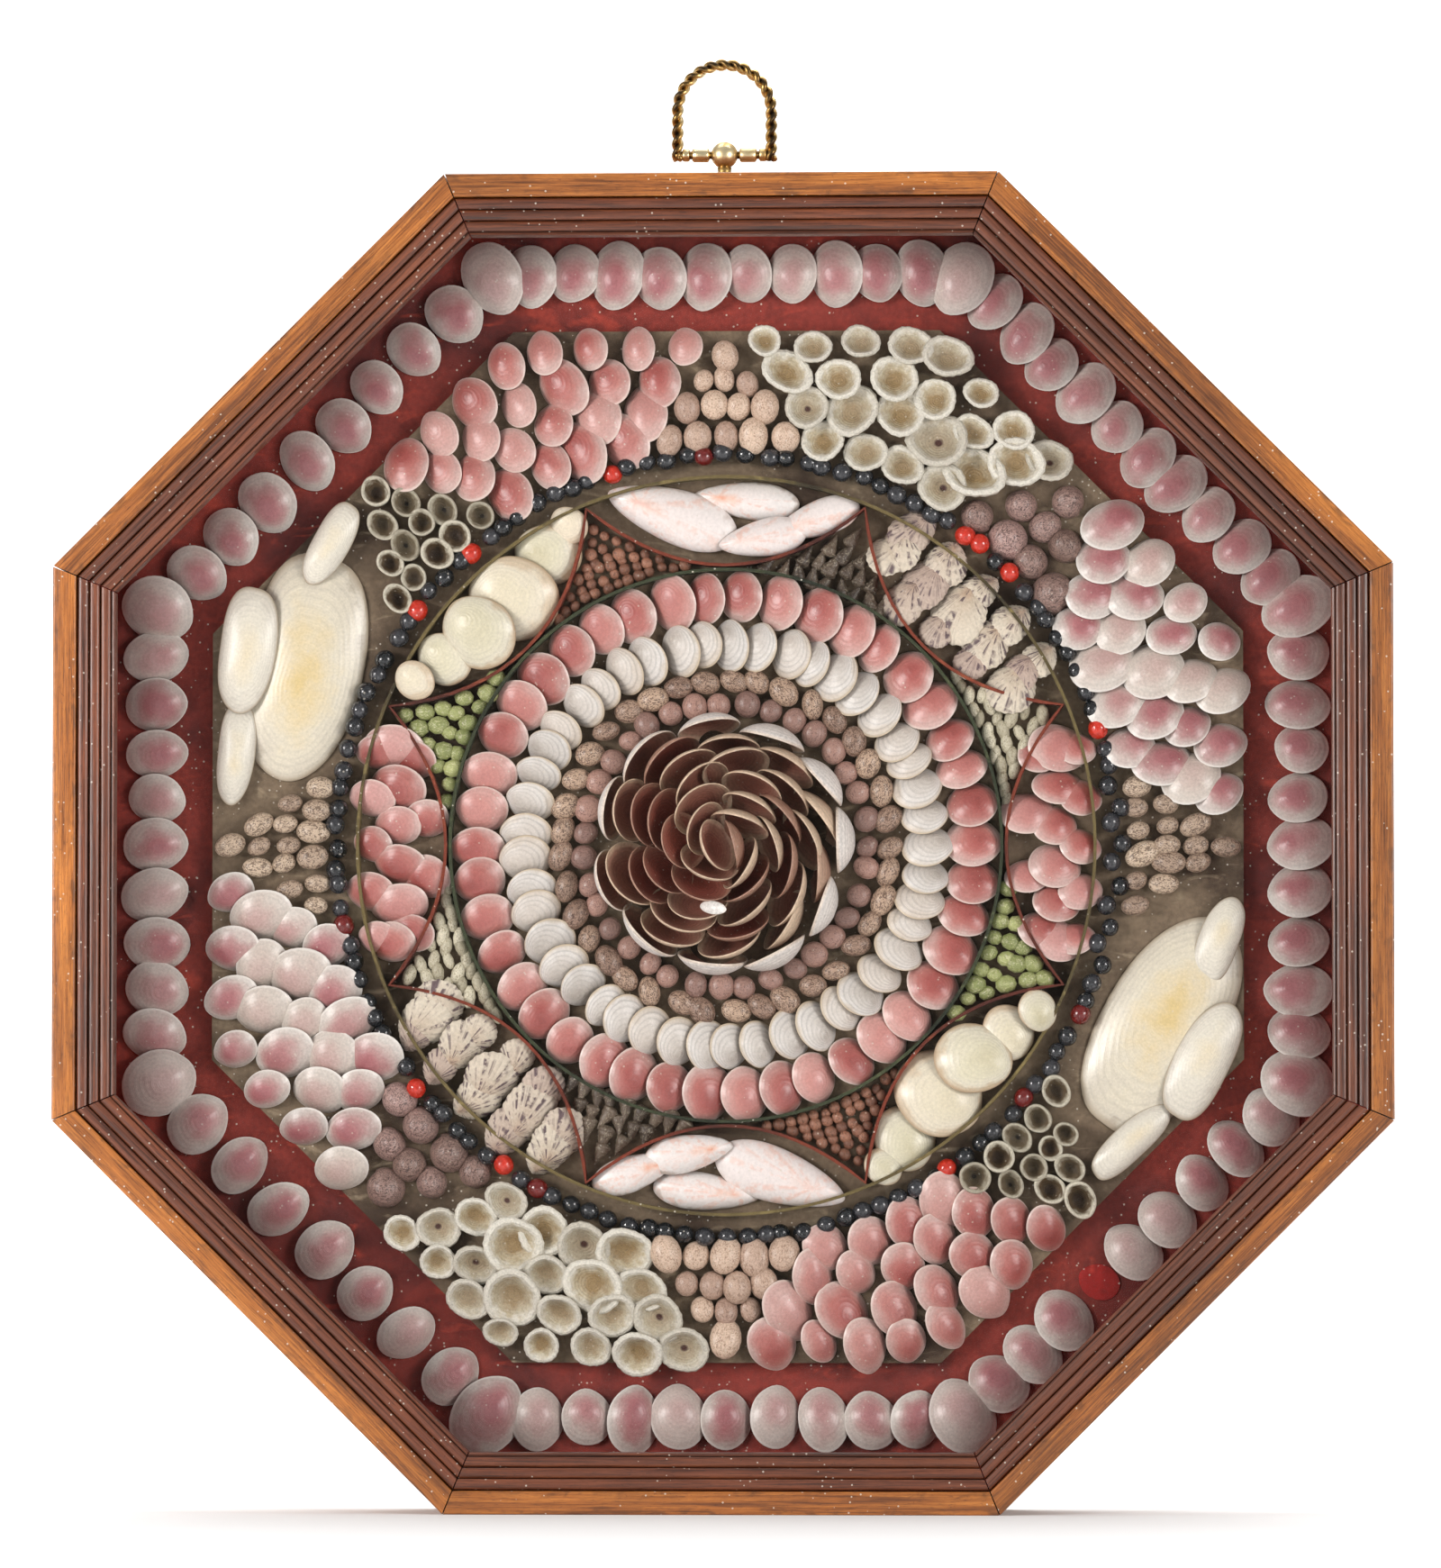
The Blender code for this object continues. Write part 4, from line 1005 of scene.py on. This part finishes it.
def make_lenses():
    pinks = shell_paint("lens_pink_shells", PINK_STOPS, (206, 160, 154), 7, 0.08, 0.18, 0.3, 0.05, 0.35, PINK_RIM_AND_EDGE_LIGHT)
    scallops = ray_paint(
        "scallop_shells",
        ((0.0, (198, 168, 142)), (0.3, (208, 190, 168)), (0.7, (218, 204, 184)), (1.0, (228, 216, 196))),
        (184, 158, 146), 8, (88, 64, 74), 0.92, 0.6, 0.2,
    )
    # The coquinas' last stop darkens them at the margin: a painted shadow along their outline.
    coquinas = ray_paint(
        "coquina_shells",
        (
            (0.0, (232, 160, 132)),
            (0.12, (238, 200, 182)),
            (0.36, (240, 228, 223)),
            (0.92, (238, 232, 228)),
            (1.0, (196, 182, 172)),
        ),
        (238, 226, 222), 3.5, (236, 182, 160), 0.5, 0.3, 0.06, 0.1,
    )
    # The darker tan rim line outlines each clam: painted shade at its edge.
    pearls = shell_paint(
        "pearl_clam_shells",
        ((0.0, (212, 202, 168)), (0.5, (232, 224, 196)), (0.85, (238, 230, 208)), (1.0, (216, 194, 162))),
        (226, 210, 188), 10, 0.1, 0.14, 0.28, 0.06, 0.4, (194, 168, 138),
    )
    for index, place in enumerate(PLACES):
        edges = lens_edges(index)
        heap = Heap(400 + index)
        kind = ("pinks", "scallops", "coquinas", "pearls")[index % 4]
        if kind == "pinks":
            rows = ((0.2, 4, 0.94), (0.52, 6, 1.0), (0.85, 5, 0.92))
            lay_rows(heap, VALVES, edges, rows, (11.6, 13.8, 2.8), 2.2, span=0.84, tip=-12, roll=-21)
            material = pinks
        elif kind == "scallops":
            rows = ((0.22, 5, 0.9), (0.54, 5, 1.05), (0.86, 5, 0.8))
            size = (12.6, 13.6, 3.0)
            lay_rows(heap, SCALLOPS, edges, rows, size, 2.2, span=0.8, tip=-8, roll=-18, jitter=1.0, vary=0.2)
            material = scallops
        elif kind == "coquinas":
            for share, out, size, turn, lift in COQUINAS:
                lay_one(heap, COQUINA, edges, share, out, size, turn, ON_BED + lift)
            material = coquinas
        else:
            for share, out, size, lift in PEARLS:
                form = PEARL_VALVES[heap.random.integers(3)]
                turn = heap.vary(35)
                lay_one(heap, form, edges, share, out, (size, size * 1.08, size * 0.2), turn, ON_BED + lift, 0, -10)
            material = pearls
        node = f"{place}_lens_{kind}"
        pour(f"{node}_shells", heap, material, (node,))


# Small triangles between the lenses


def make_triangles():
    """Tiny shells between each two lenses, in rows that fit between the scalloped strip and the inner one."""
    shares = np.linspace(0, 1, 30)
    strip = np.array([scallop_point(share) for share in shares])
    reach = np.hypot(strip[:, 0], strip[:, 1])
    angle = np.degrees(np.arctan2(strip[:, 1], strip[:, 0]))
    kinds = {
        "rice": (RICE, (3.2, 5.6, 3.0), 3.2, 4.4, 70, (222, 214, 190), (190, 180, 154), (150, 138, 110)),
        "cones": (CONE, (4.2, 6.6, 4.0), 3.8, 5.0, 0, (104, 88, 74), (76, 62, 52), (160, 148, 128)),
        "brown_seeds": (TINY_SEED, (3.0, 3.3, 2.8), 2.9, 2.9, 0, (166, 116, 92), (132, 88, 68), (92, 58, 44)),
        "green_nerites": (TINY_SEED, (4.4, 5.2, 4.2), 4.2, 4.6, 20, (176, 180, 118), (144, 152, 92), (216, 212, 172)),
    }
    order = ("rice", "cones", "brown_seeds", "green_nerites")
    for index in range(SIDES):
        kind = order[index % 4]
        form, size, across, along, heading, ground, other, speck = kinds[kind]
        material = speckled_paint(f"{kind}_{index + 1}", ground, other, speck, 1.4, 0.55, 0.42)
        heap = Heap(500 + index)
        middle = (index + 0.5) * STEP
        radius = INNER_STRIP_R + 2.2
        while radius < CUSP_R - 4:
            edge = np.interp(radius, reach, angle)
            half = math.radians(STEP / 2 - edge) * radius - 1.4
            count = max(int(2 * half / across), 1) if half > 0 else 0
            for i in range(count):
                side = (2 * i + 1 - count) / count * half
                place = polar(radius + heap.vary(0.5), middle + math.degrees(side / radius) + heap.vary(0.3))
                grown = np.array(size) * (1 + heap.vary(0.15))
                turn = middle + heading + heap.vary(25)
                heap.add(form, (*place, ON_BED - 0.2 + heap.random.uniform(0, 0.6)), grown, turn, heap.vary(12))
            radius += along * 0.86
        pour(f"triangle_{index + 1}_{kind}", heap, material)


# Rings round the rose, bead band and border


def lay_ring(heap, forms, radius, count, size, heading=0.0, roll=0.0, lift=0.0, vary=0.07, loose=0.1, turn=6.0):
    for i in range(count):
        degrees = 360 * (i + heap.vary(loose)) / count
        x, y = polar(radius + heap.vary(0.4), degrees)
        grown = np.array(size) * (1 + heap.vary(vary)) * (1 + heap.vary(vary), 1, 1)
        form = forms[heap.random.integers(len(forms))]
        place = (x, y, ON_BED + lift)
        heap.add(form, place, grown, degrees + heading + heap.vary(turn), heap.vary(5), roll + heap.vary(5))


def make_rings():
    pinks = shell_paint("ring_pink_shells", PINK_STOPS, (206, 150, 142), 7, 0.08, 0.18, 0.32, 0.05, 0.3, PINK_RIM_AND_EDGE_LIGHT)
    heap = Heap(601)
    lay_ring(heap, VALVES, PINK_R, 42, (12.6, 14.2, 2.8), roll=-22, lift=2.6)
    pour("pink_ring_shells", heap, pinks, ("pink_shell_ring",))
    whites = shell_paint(
        "ring_white_shells",
        ((0.0, (196, 186, 176)), (0.5, (220, 212, 204)), (0.85, (232, 226, 220)), (1.0, (220, 208, 194))),
        (204, 192, 180), 7, 0.26, 0.14, 0.36, 0.1, 0.2, (204, 184, 156),
    )
    heap = Heap(602)
    lay_ring(heap, RIDGED_VALVES, WHITE_R, 45, (11.8, 12.8, 2.6), roll=-32, lift=3.2, loose=0.14)
    pour("white_ring_shells", heap, whites, ("white_shell_ring",))
    mottled = speckled_paint("outer_seed_shells", (196, 168, 144), (164, 134, 116), (82, 56, 46), 1.5, 0.49, 0.34)
    heap = Heap(603)
    lay_ring(heap, (SEED,), OUTER_SEEDS_R, 37, (6.0, 8.0, 5.2), heading=60, vary=0.1, loose=0.14, turn=26)
    pour("outer_ring_seeds", heap, mottled, ("outer_seed_ring",))
    plain = speckled_paint("inner_seed_shells", (182, 142, 128), (150, 118, 108), (112, 80, 72), 1.9, 0.55, 0.32)
    heap = Heap(604)
    lay_ring(heap, (SEED,), INNER_SEEDS_R, 35, (6.2, 6.9, 5.2), heading=20, vary=0.1, loose=0.12, turn=35)
    pour("inner_ring_seeds", heap, plain, ("inner_seed_ring",))


RED_BEADS = (108.3, 132.0, 141.5, 53.4, 48.3, 42.6, 16.7, 305.6, 234.4, 218.5)
DARK_RED_BEADS = (332.8, 319.4, 239.7, 192.3, 93.0)
BEAD_COUNT = 124
BEAD_SIZE = 5.1
# Degrees between which the band zigzags on the right
ZIGZAG = (-20, 9)


def make_beads():
    black = bead_paint("black_glass_beads", (24, 26, 29), (58, 58, 62))
    red = bead_paint("red_glass_beads", (206, 50, 32), (112, 28, 26))
    heap = Heap(611)
    bright = Heap(612)
    reds = {round(angle / 360 * BEAD_COUNT) % BEAD_COUNT: 0.0 for angle in RED_BEADS}
    reds |= {round(angle / 360 * BEAD_COUNT) % BEAD_COUNT: 1.0 for angle in DARK_RED_BEADS}
    for i in range(BEAD_COUNT):
        degrees = 360 * i / BEAD_COUNT
        lot = bright if i in reds else heap
        folded = ZIGZAG[0] < (degrees + 180) % 360 - 180 < ZIGZAG[1]
        out = (-1.5 if i % 2 else 1.0) if folded else 0.0
        place = polar(BEAD_R + out + lot.vary(0.45), degrees + lot.vary(0.2))
        size = (BEAD_SIZE + (0.4 if i in reds else 0.0)) * (1 + lot.vary(0.06))
        turn = degrees + 90 + lot.vary(35)
        lot.add(BEAD, (*place, ON_BED), np.full(3, size), turn, lot.vary(25), 0, reds.get(i))
    pour("black_beads", heap, black, ("bead_band",))
    pour("red_beads", bright, red)


BORDER_BETWEEN = (9, 10, 10, 8, 9, 7, 9, 9)
MISSING_SIDE = 7
MISSING_NUMBER = 4


def make_border():
    """A row of valves along each side of the red paper; a patch of bare red shows where one is missing."""
    material = shell_paint("border_finish", GREY_STOPS, (200, 182, 174), 8, 0.07, 0.22, 0.33, 0.04, 0.3, GREY_RIM_AND_EDGE_LIGHT)
    heap = Heap(621)
    patch = Heap(622)
    half = BORDER_APOTHEM * MITRE
    for index, between in enumerate(BORDER_BETWEEN):
        spin = rotation(index * STEP)[:2, :2]
        for number in range(between + 1):
            corner = number == 0
            along = -half + 2 * half * number / (between + 1)
            x, y = spin @ (BORDER_APOTHEM + heap.vary(0.7) - (0.8 if corner else 0), along + heap.vary(0.7))
            if index == MISSING_SIDE and number == MISSING_NUMBER:
                patch.add(VALVES[3], (x, y, ON_PAPER), (9.0, 11.0, 0.5), index * STEP + 200)
                continue
            grown = (1.2 if corner else 1.0) * (1 + heap.vary(0.07))
            turn = index * STEP - (STEP / 2 if corner else 0) + 180 + heap.vary(14)
            size = np.array((13.8, 16.4, 3.6)) * grown * (1, 1 + heap.vary(0.08), 1)
            form = VALVES[heap.random.integers(len(VALVES))]
            lift = 3.0 if corner else 1.6
            # The shells on the right are pinker and darker than those on the left.
            shade = heap.random.uniform(0, 0.5 if index in (0, 1) else 0.95)
            heap.add(form, (x, y, ON_PAPER + lift), size, turn, -3 + heap.vary(5), 12 + heap.vary(6), shade)
    pour("border_shell_row", heap, material, ("border_shells",))
    pour("bare_red_patch", patch, paper_paint("bare_red_paper", (188, 40, 34), (214, 70, 54), (126, 26, 24)))


# Rose: rows of cupped petals on edge


def petal_paint():
    """Petals: brown inside, tan at the rim. A shade of 0 has a white back, and one over 0.7 is redder."""
    paint = Paint("rose_petals", 0.4, coat_weight=0.15, coat_roughness=0.3)
    growth = paint.attribute("growth")
    local = paint.attribute_vector("local")
    shade = paint.attribute("shade")
    cloud = paint.noise(local, 0.3, 4)
    stops = (
        (0.0, (146, 90, 76)),
        (0.26, (164, 108, 92)),
        (0.43, (188, 142, 122)),
        (0.48, (222, 192, 164)),
        (0.52, (234, 208, 180)),
        (0.7, (216, 186, 160)),
        (1.0, (196, 162, 138)),
    )
    tone = paint.calc("ADD", paint.calc("MULTIPLY", growth, 0.5), paint.between(cloud, 0.3, 0.7, -0.02, 0.02))
    colour = paint.ramp(tone, stops)
    colour = paint.mix(colour, linear((150, 52, 42)), paint.between(shade, 0.7, 0.75, 0, 0.5))
    white = paint.calc("MULTIPLY", paint.calc("LESS_THAN", shade, 0.1), paint.between(growth, 0.96, 1.04))
    colour = paint.mix(colour, linear((238, 232, 226)), white)
    line = paint.between(paint.stripes(growth, 9, paint.calc("MULTIPLY", cloud, 6)), 0, 1, 1, 0.84)
    grain = paint.between(paint.noise(local, 1.4, 4), 0.3, 0.75, 0.76, 1.1)
    tone = paint.calc("MULTIPLY", paint.calc("MULTIPLY", line, grain), paint.between(shade, 0, 1, 1.1, 0.84))
    paint.colour(dusted(paint, paint.mix(colour, tone, 1.0, "MULTIPLY")))
    paint.bump(paint.stripes(growth, 12), 0.4, 0.08)
    return paint.material


# Rows of the rose from the outside in: radius, petals, petal width, lean, height of its top edge
ROSE_ROWS = (
    (29.6, 11, 17.5, 78, 4.6),
    (24.6, 10, 17.4, 64, 5.6),
    (20.0, 9, 17.0, 60, 6.6),
    (15.4, 8, 16.4, 58, 7.4),
    (10.6, 6, 15.6, 60, 8.0),
    (6.0, 4, 14.8, 64, 8.4),
    (2.0, 2, 13.5, 70, 8.6),
)


def make_rose():
    """Petals that open inwards in a swirl. Those on the right stand more upright."""
    heap = Heap(631)
    for row, (radius, count, size, lean, top) in enumerate(ROSE_ROWS):
        for i in range(count):
            degrees = 360 * (i + 0.5 * (row % 2) + heap.vary(0.1)) / count
            x, y = polar(radius + heap.vary(0.6), degrees)
            grown = size * (1 + heap.vary(0.07))
            shade = 0.0 if row == 0 else heap.random.uniform(0.2, 1)
            upright = min(lean + 14 * math.cos(math.radians(degrees - 10)) + heap.vary(6), 89)
            z = top - grown / 2 * math.sin(math.radians(upright))
            swirl = (184 if row == 0 else 196) + heap.vary(9)
            heap.add(CUP, (x, y, z), np.full(3, grown), degrees + swirl, -upright, heap.vary(6), shade)
    heap.add(CUP, (-2.6, -16.5, 7.6), (3.4, 8.0, 3.0), 170, 150, 0, 0.0)
    pour("rose_petals", heap, petal_paint(), ("shell_rose",))


# Paper: strips on edge, liner of the side walls, plates


def ribbon(name, route, height, thick, base, material, replaces=(), seed=0):
    """A closed strip of paper on edge that follows a route, its top edge slightly uneven."""
    heap = Heap(seed)
    route = np.asarray(route)
    ahead = np.roll(route, -1, axis=0) - np.roll(route, 1, axis=0)
    normal = np.stack((ahead[:, 1], -ahead[:, 0]), -1)
    normal = normal / np.linalg.norm(normal, axis=1)[:, None]
    count = len(route)
    top = height + 0.25 * np.sin(np.arange(count) * 0.7) + heap.random.uniform(-0.12, 0.12, count)
    out = route + normal * thick / 2
    into = route - normal * thick / 2
    flat = np.full(count, base)
    rings = np.stack([
        np.column_stack((out, flat)), np.column_stack((out, flat + top)),
        np.column_stack((into, flat + top)), np.column_stack((into, flat)),
    ])
    index = np.arange(4 * count).reshape(4, count)
    after = np.roll(index, -1, axis=1)
    faces = []
    for a in range(4):
        b = (a + 1) % 4
        faces += np.stack((index[a], after[a], after[b], index[b]), -1).tolist()
    mesh = bpy.data.meshes.new(name)
    mesh.from_pydata(in_frame(rings.reshape(-1, 3)).tolist(), [], faces)
    finish_piece(bpy.data.objects.new(name, mesh), material, replaces)


def make_strips():
    green = paper_paint("green_paper", (56, 62, 40), (92, 96, 62), (30, 34, 22))
    gold = paper_paint("gold_paper", (108, 93, 56), (156, 138, 88), (54, 45, 28))
    maroon = paper_paint("maroon_paper", (122, 52, 32), (156, 82, 54), (66, 28, 20))
    for name, radius, material, node, seed in (
        ("inner_strip", INNER_STRIP_R, green, "inner_paper_strip", 701),
        ("outer_strip", OUTER_STRIP_R, gold, "outer_paper_strip", 702),
    ):
        route = [polar(radius, 360 * i / 120) for i in range(120)]
        ribbon(name, route, STRIP_HEIGHT, 0.8, ON_BED, material, (node,), seed)
    route = []
    for index in range(SIDES):
        spin = rotation(index * STEP)[:2, :2]
        route += [spin @ scallop_point(2 * step / 16 - 1) for step in range(16)]
    ribbon("scalloped_strip", route, STRIP_HEIGHT, 0.8, ON_BED, maroon, ("scalloped_paper_strip",), 703)


def make_liner(red):
    """Red paper on the inner faces of the boards, between the glass and the ground."""
    for index, place in enumerate(PLACES):
        spin = rotation(index * STEP)
        points = []
        for apothem in (INNER - 0.04, INNER - 0.24):
            edge = apothem * MITRE
            points += [(apothem, -edge, ON_PAPER), (apothem, edge, ON_PAPER)]
            points += [(apothem, edge, GLASS_BACK - 0.3), (apothem, -edge, GLASS_BACK - 0.3)]
        faces = [(0, 1, 2, 3), (7, 6, 5, 4), (0, 4, 5, 1), (1, 5, 6, 2), (2, 6, 7, 3), (3, 7, 4, 0)]
        mesh = bpy.data.meshes.new(f"{place}_side_paper")
        mesh.from_pydata(in_frame(np.array(points) @ spin.T).tolist(), [], faces)
        finish_piece(bpy.data.objects.new(f"{place}_side_paper", mesh), red, ())


def dress_plates():
    """Materials for the plain plates of the frame, which stay as they are."""
    red = paper_paint("red_paper", (142, 52, 42), (178, 66, 50), (94, 34, 30))
    plates = {
        "red_paper_ground": red,
        "mosaic_bed": paper_paint("bed_board", (126, 108, 88), (172, 154, 128), (70, 54, 42), 0.95),
        "glass_pane": glass_paint(),
        "back_board": wood_paint("back_wood", (138, 100, 64), (112, 80, 50), (70, 48, 30), 0.7, None, 0.0, True),
    }
    for name, material in plates.items():
        slots = frame["nodes"][name].data.materials
        slots.clear()
        slots.append(material)
    make_liner(red)


# Hanger: a twisted bail on a cross pin, and the post


def tube(heap, route, radius, segments=12, shade=0.5, worn=None):
    """A round rod along a route of points, with flat ends."""
    route = np.asarray(route, float)
    ahead = np.gradient(route, axis=0)
    ahead = ahead / np.linalg.norm(ahead, axis=1)[:, None]
    side = np.cross(ahead, (0, 0, 1.0))
    side = side / np.linalg.norm(side, axis=1)[:, None]
    up = np.cross(side, ahead)
    around = circle(segments)
    rings = route[:, None] + radius * (
        np.cos(around)[None, :, None] * side[:, None] + np.sin(around)[None, :, None] * up[:, None]
    )
    growth = np.ones(rings.shape[:2]) if worn is None else worn(rings)
    heap.add(Form(rings[:, ::-1], growth), (0, 0, 0), (1, 1, 1), 90, shade=shade)


AXIS_RISE = 6.6
BALL_R = 3.5
BAIL_HALF_SPAN = 12.1
BAIL_RISE = 23.4
STRAND_R = 0.86
STRAND_OFFSET = 0.74
TWIST_PITCH = 5.9


def make_hanger():
    brass = brass_paint()
    axis_y = OUTER + AXIS_RISE
    heap = Heap(801)
    arch = BAIL_RISE - BAIL_HALF_SPAN
    leg = np.linspace(-1.2, arch, 26)
    turn = np.linspace(0, math.pi, 90)[1:-1]
    right = np.full(26, BAIL_HALF_SPAN)
    x = np.concatenate((right, BAIL_HALF_SPAN * np.cos(turn), -right))
    y = np.concatenate((leg, arch + BAIL_HALF_SPAN * np.sin(turn), leg[::-1]))
    route = np.stack((x, y), -1)
    ahead = np.gradient(route, axis=0)
    ahead = ahead / np.linalg.norm(ahead, axis=1)[:, None]
    side = np.stack((-ahead[:, 1], ahead[:, 0]), -1)
    travelled = np.concatenate(((0,), np.cumsum(np.linalg.norm(np.diff(route, axis=0), axis=1))))
    for strand in (0, 1):
        phase = 2 * math.pi * travelled / TWIST_PITCH + strand * math.pi
        flat = route + side * (STRAND_OFFSET * np.cos(phase))[:, None]
        depth = STRAND_OFFSET * np.sin(phase)
        line = np.column_stack((flat[:, 0], flat[:, 1] + axis_y, depth))

        def worn(rings):
            middle = np.column_stack((route[:, 0], route[:, 1] + axis_y, np.zeros(len(route))))
            away = np.linalg.norm(rings - middle[:, None], axis=2)
            return np.clip((away - 0.5) / 1.1, 0, 1)

        tube(heap, line, STRAND_R, 12, 0.5, worn)
    pin_profile = ((0.02, 12.9), (0.7, 12.9), (1.25, 12.6), (1.3, 11.7), (1.0, 11.4), (1.0, 10.9))
    pin_profile += ((1.5, 10.8), (1.65, 10.4), (1.65, 9.3), (1.4, 9.0), (1.05, 8.9), (1.05, 8.4), (1.5, 8.3))
    pin_profile += ((1.85, 7.9), (1.85, 4.4), (1.6, 4.0), (1.0, 3.85), (1.0, 0.0))
    both = list(pin_profile) + [(r, -z) for r, z in reversed(pin_profile[:-1])]
    pin = turned_form(both, 20)
    pin.growth = np.clip((np.hypot(pin.points[:, 0], pin.points[:, 1]) - 0.9) / 0.9, 0, 1)
    pin.points = pin.points[:, (2, 0, 1)]
    heap.add(pin, (0, axis_y, 0), (1, 1, 1), 90)
    pour("twisted_bail", heap, brass, ("hanger_bail",), "bail")
    post = Heap(802)
    profile = []
    for step in range(1, 15):
        turn = math.pi * step / 16
        profile.append((BALL_R * math.sin(turn), BALL_R * math.cos(turn)))
    profile += [(1.9, -3.2), (1.75, -4.2), (1.95, -5.3), (2.2, -5.6)]
    profile += [(2.2, -6.3), (1.5, -6.3), (1.5, -11.2), (0.02, -11.2)]
    knob = turned_form(profile, 28)
    knob.growth = np.clip(np.hypot(knob.points[:, 0], knob.points[:, 1]) / 3, 0, 1)
    knob.points = knob.points[:, (1, 2, 0)]
    post.add(knob, (0, axis_y, 0), (1, 1, 1), 90)
    pour("post_knob", post, brass, ("hanger_post",))


make_camera()
make_stage()
make_wood()
dress_plates()
make_strips()
make_border()
make_beads()
make_corners()
make_wedges()
make_lenses()
make_triangles()
make_rings()
make_rose()
make_hanger()
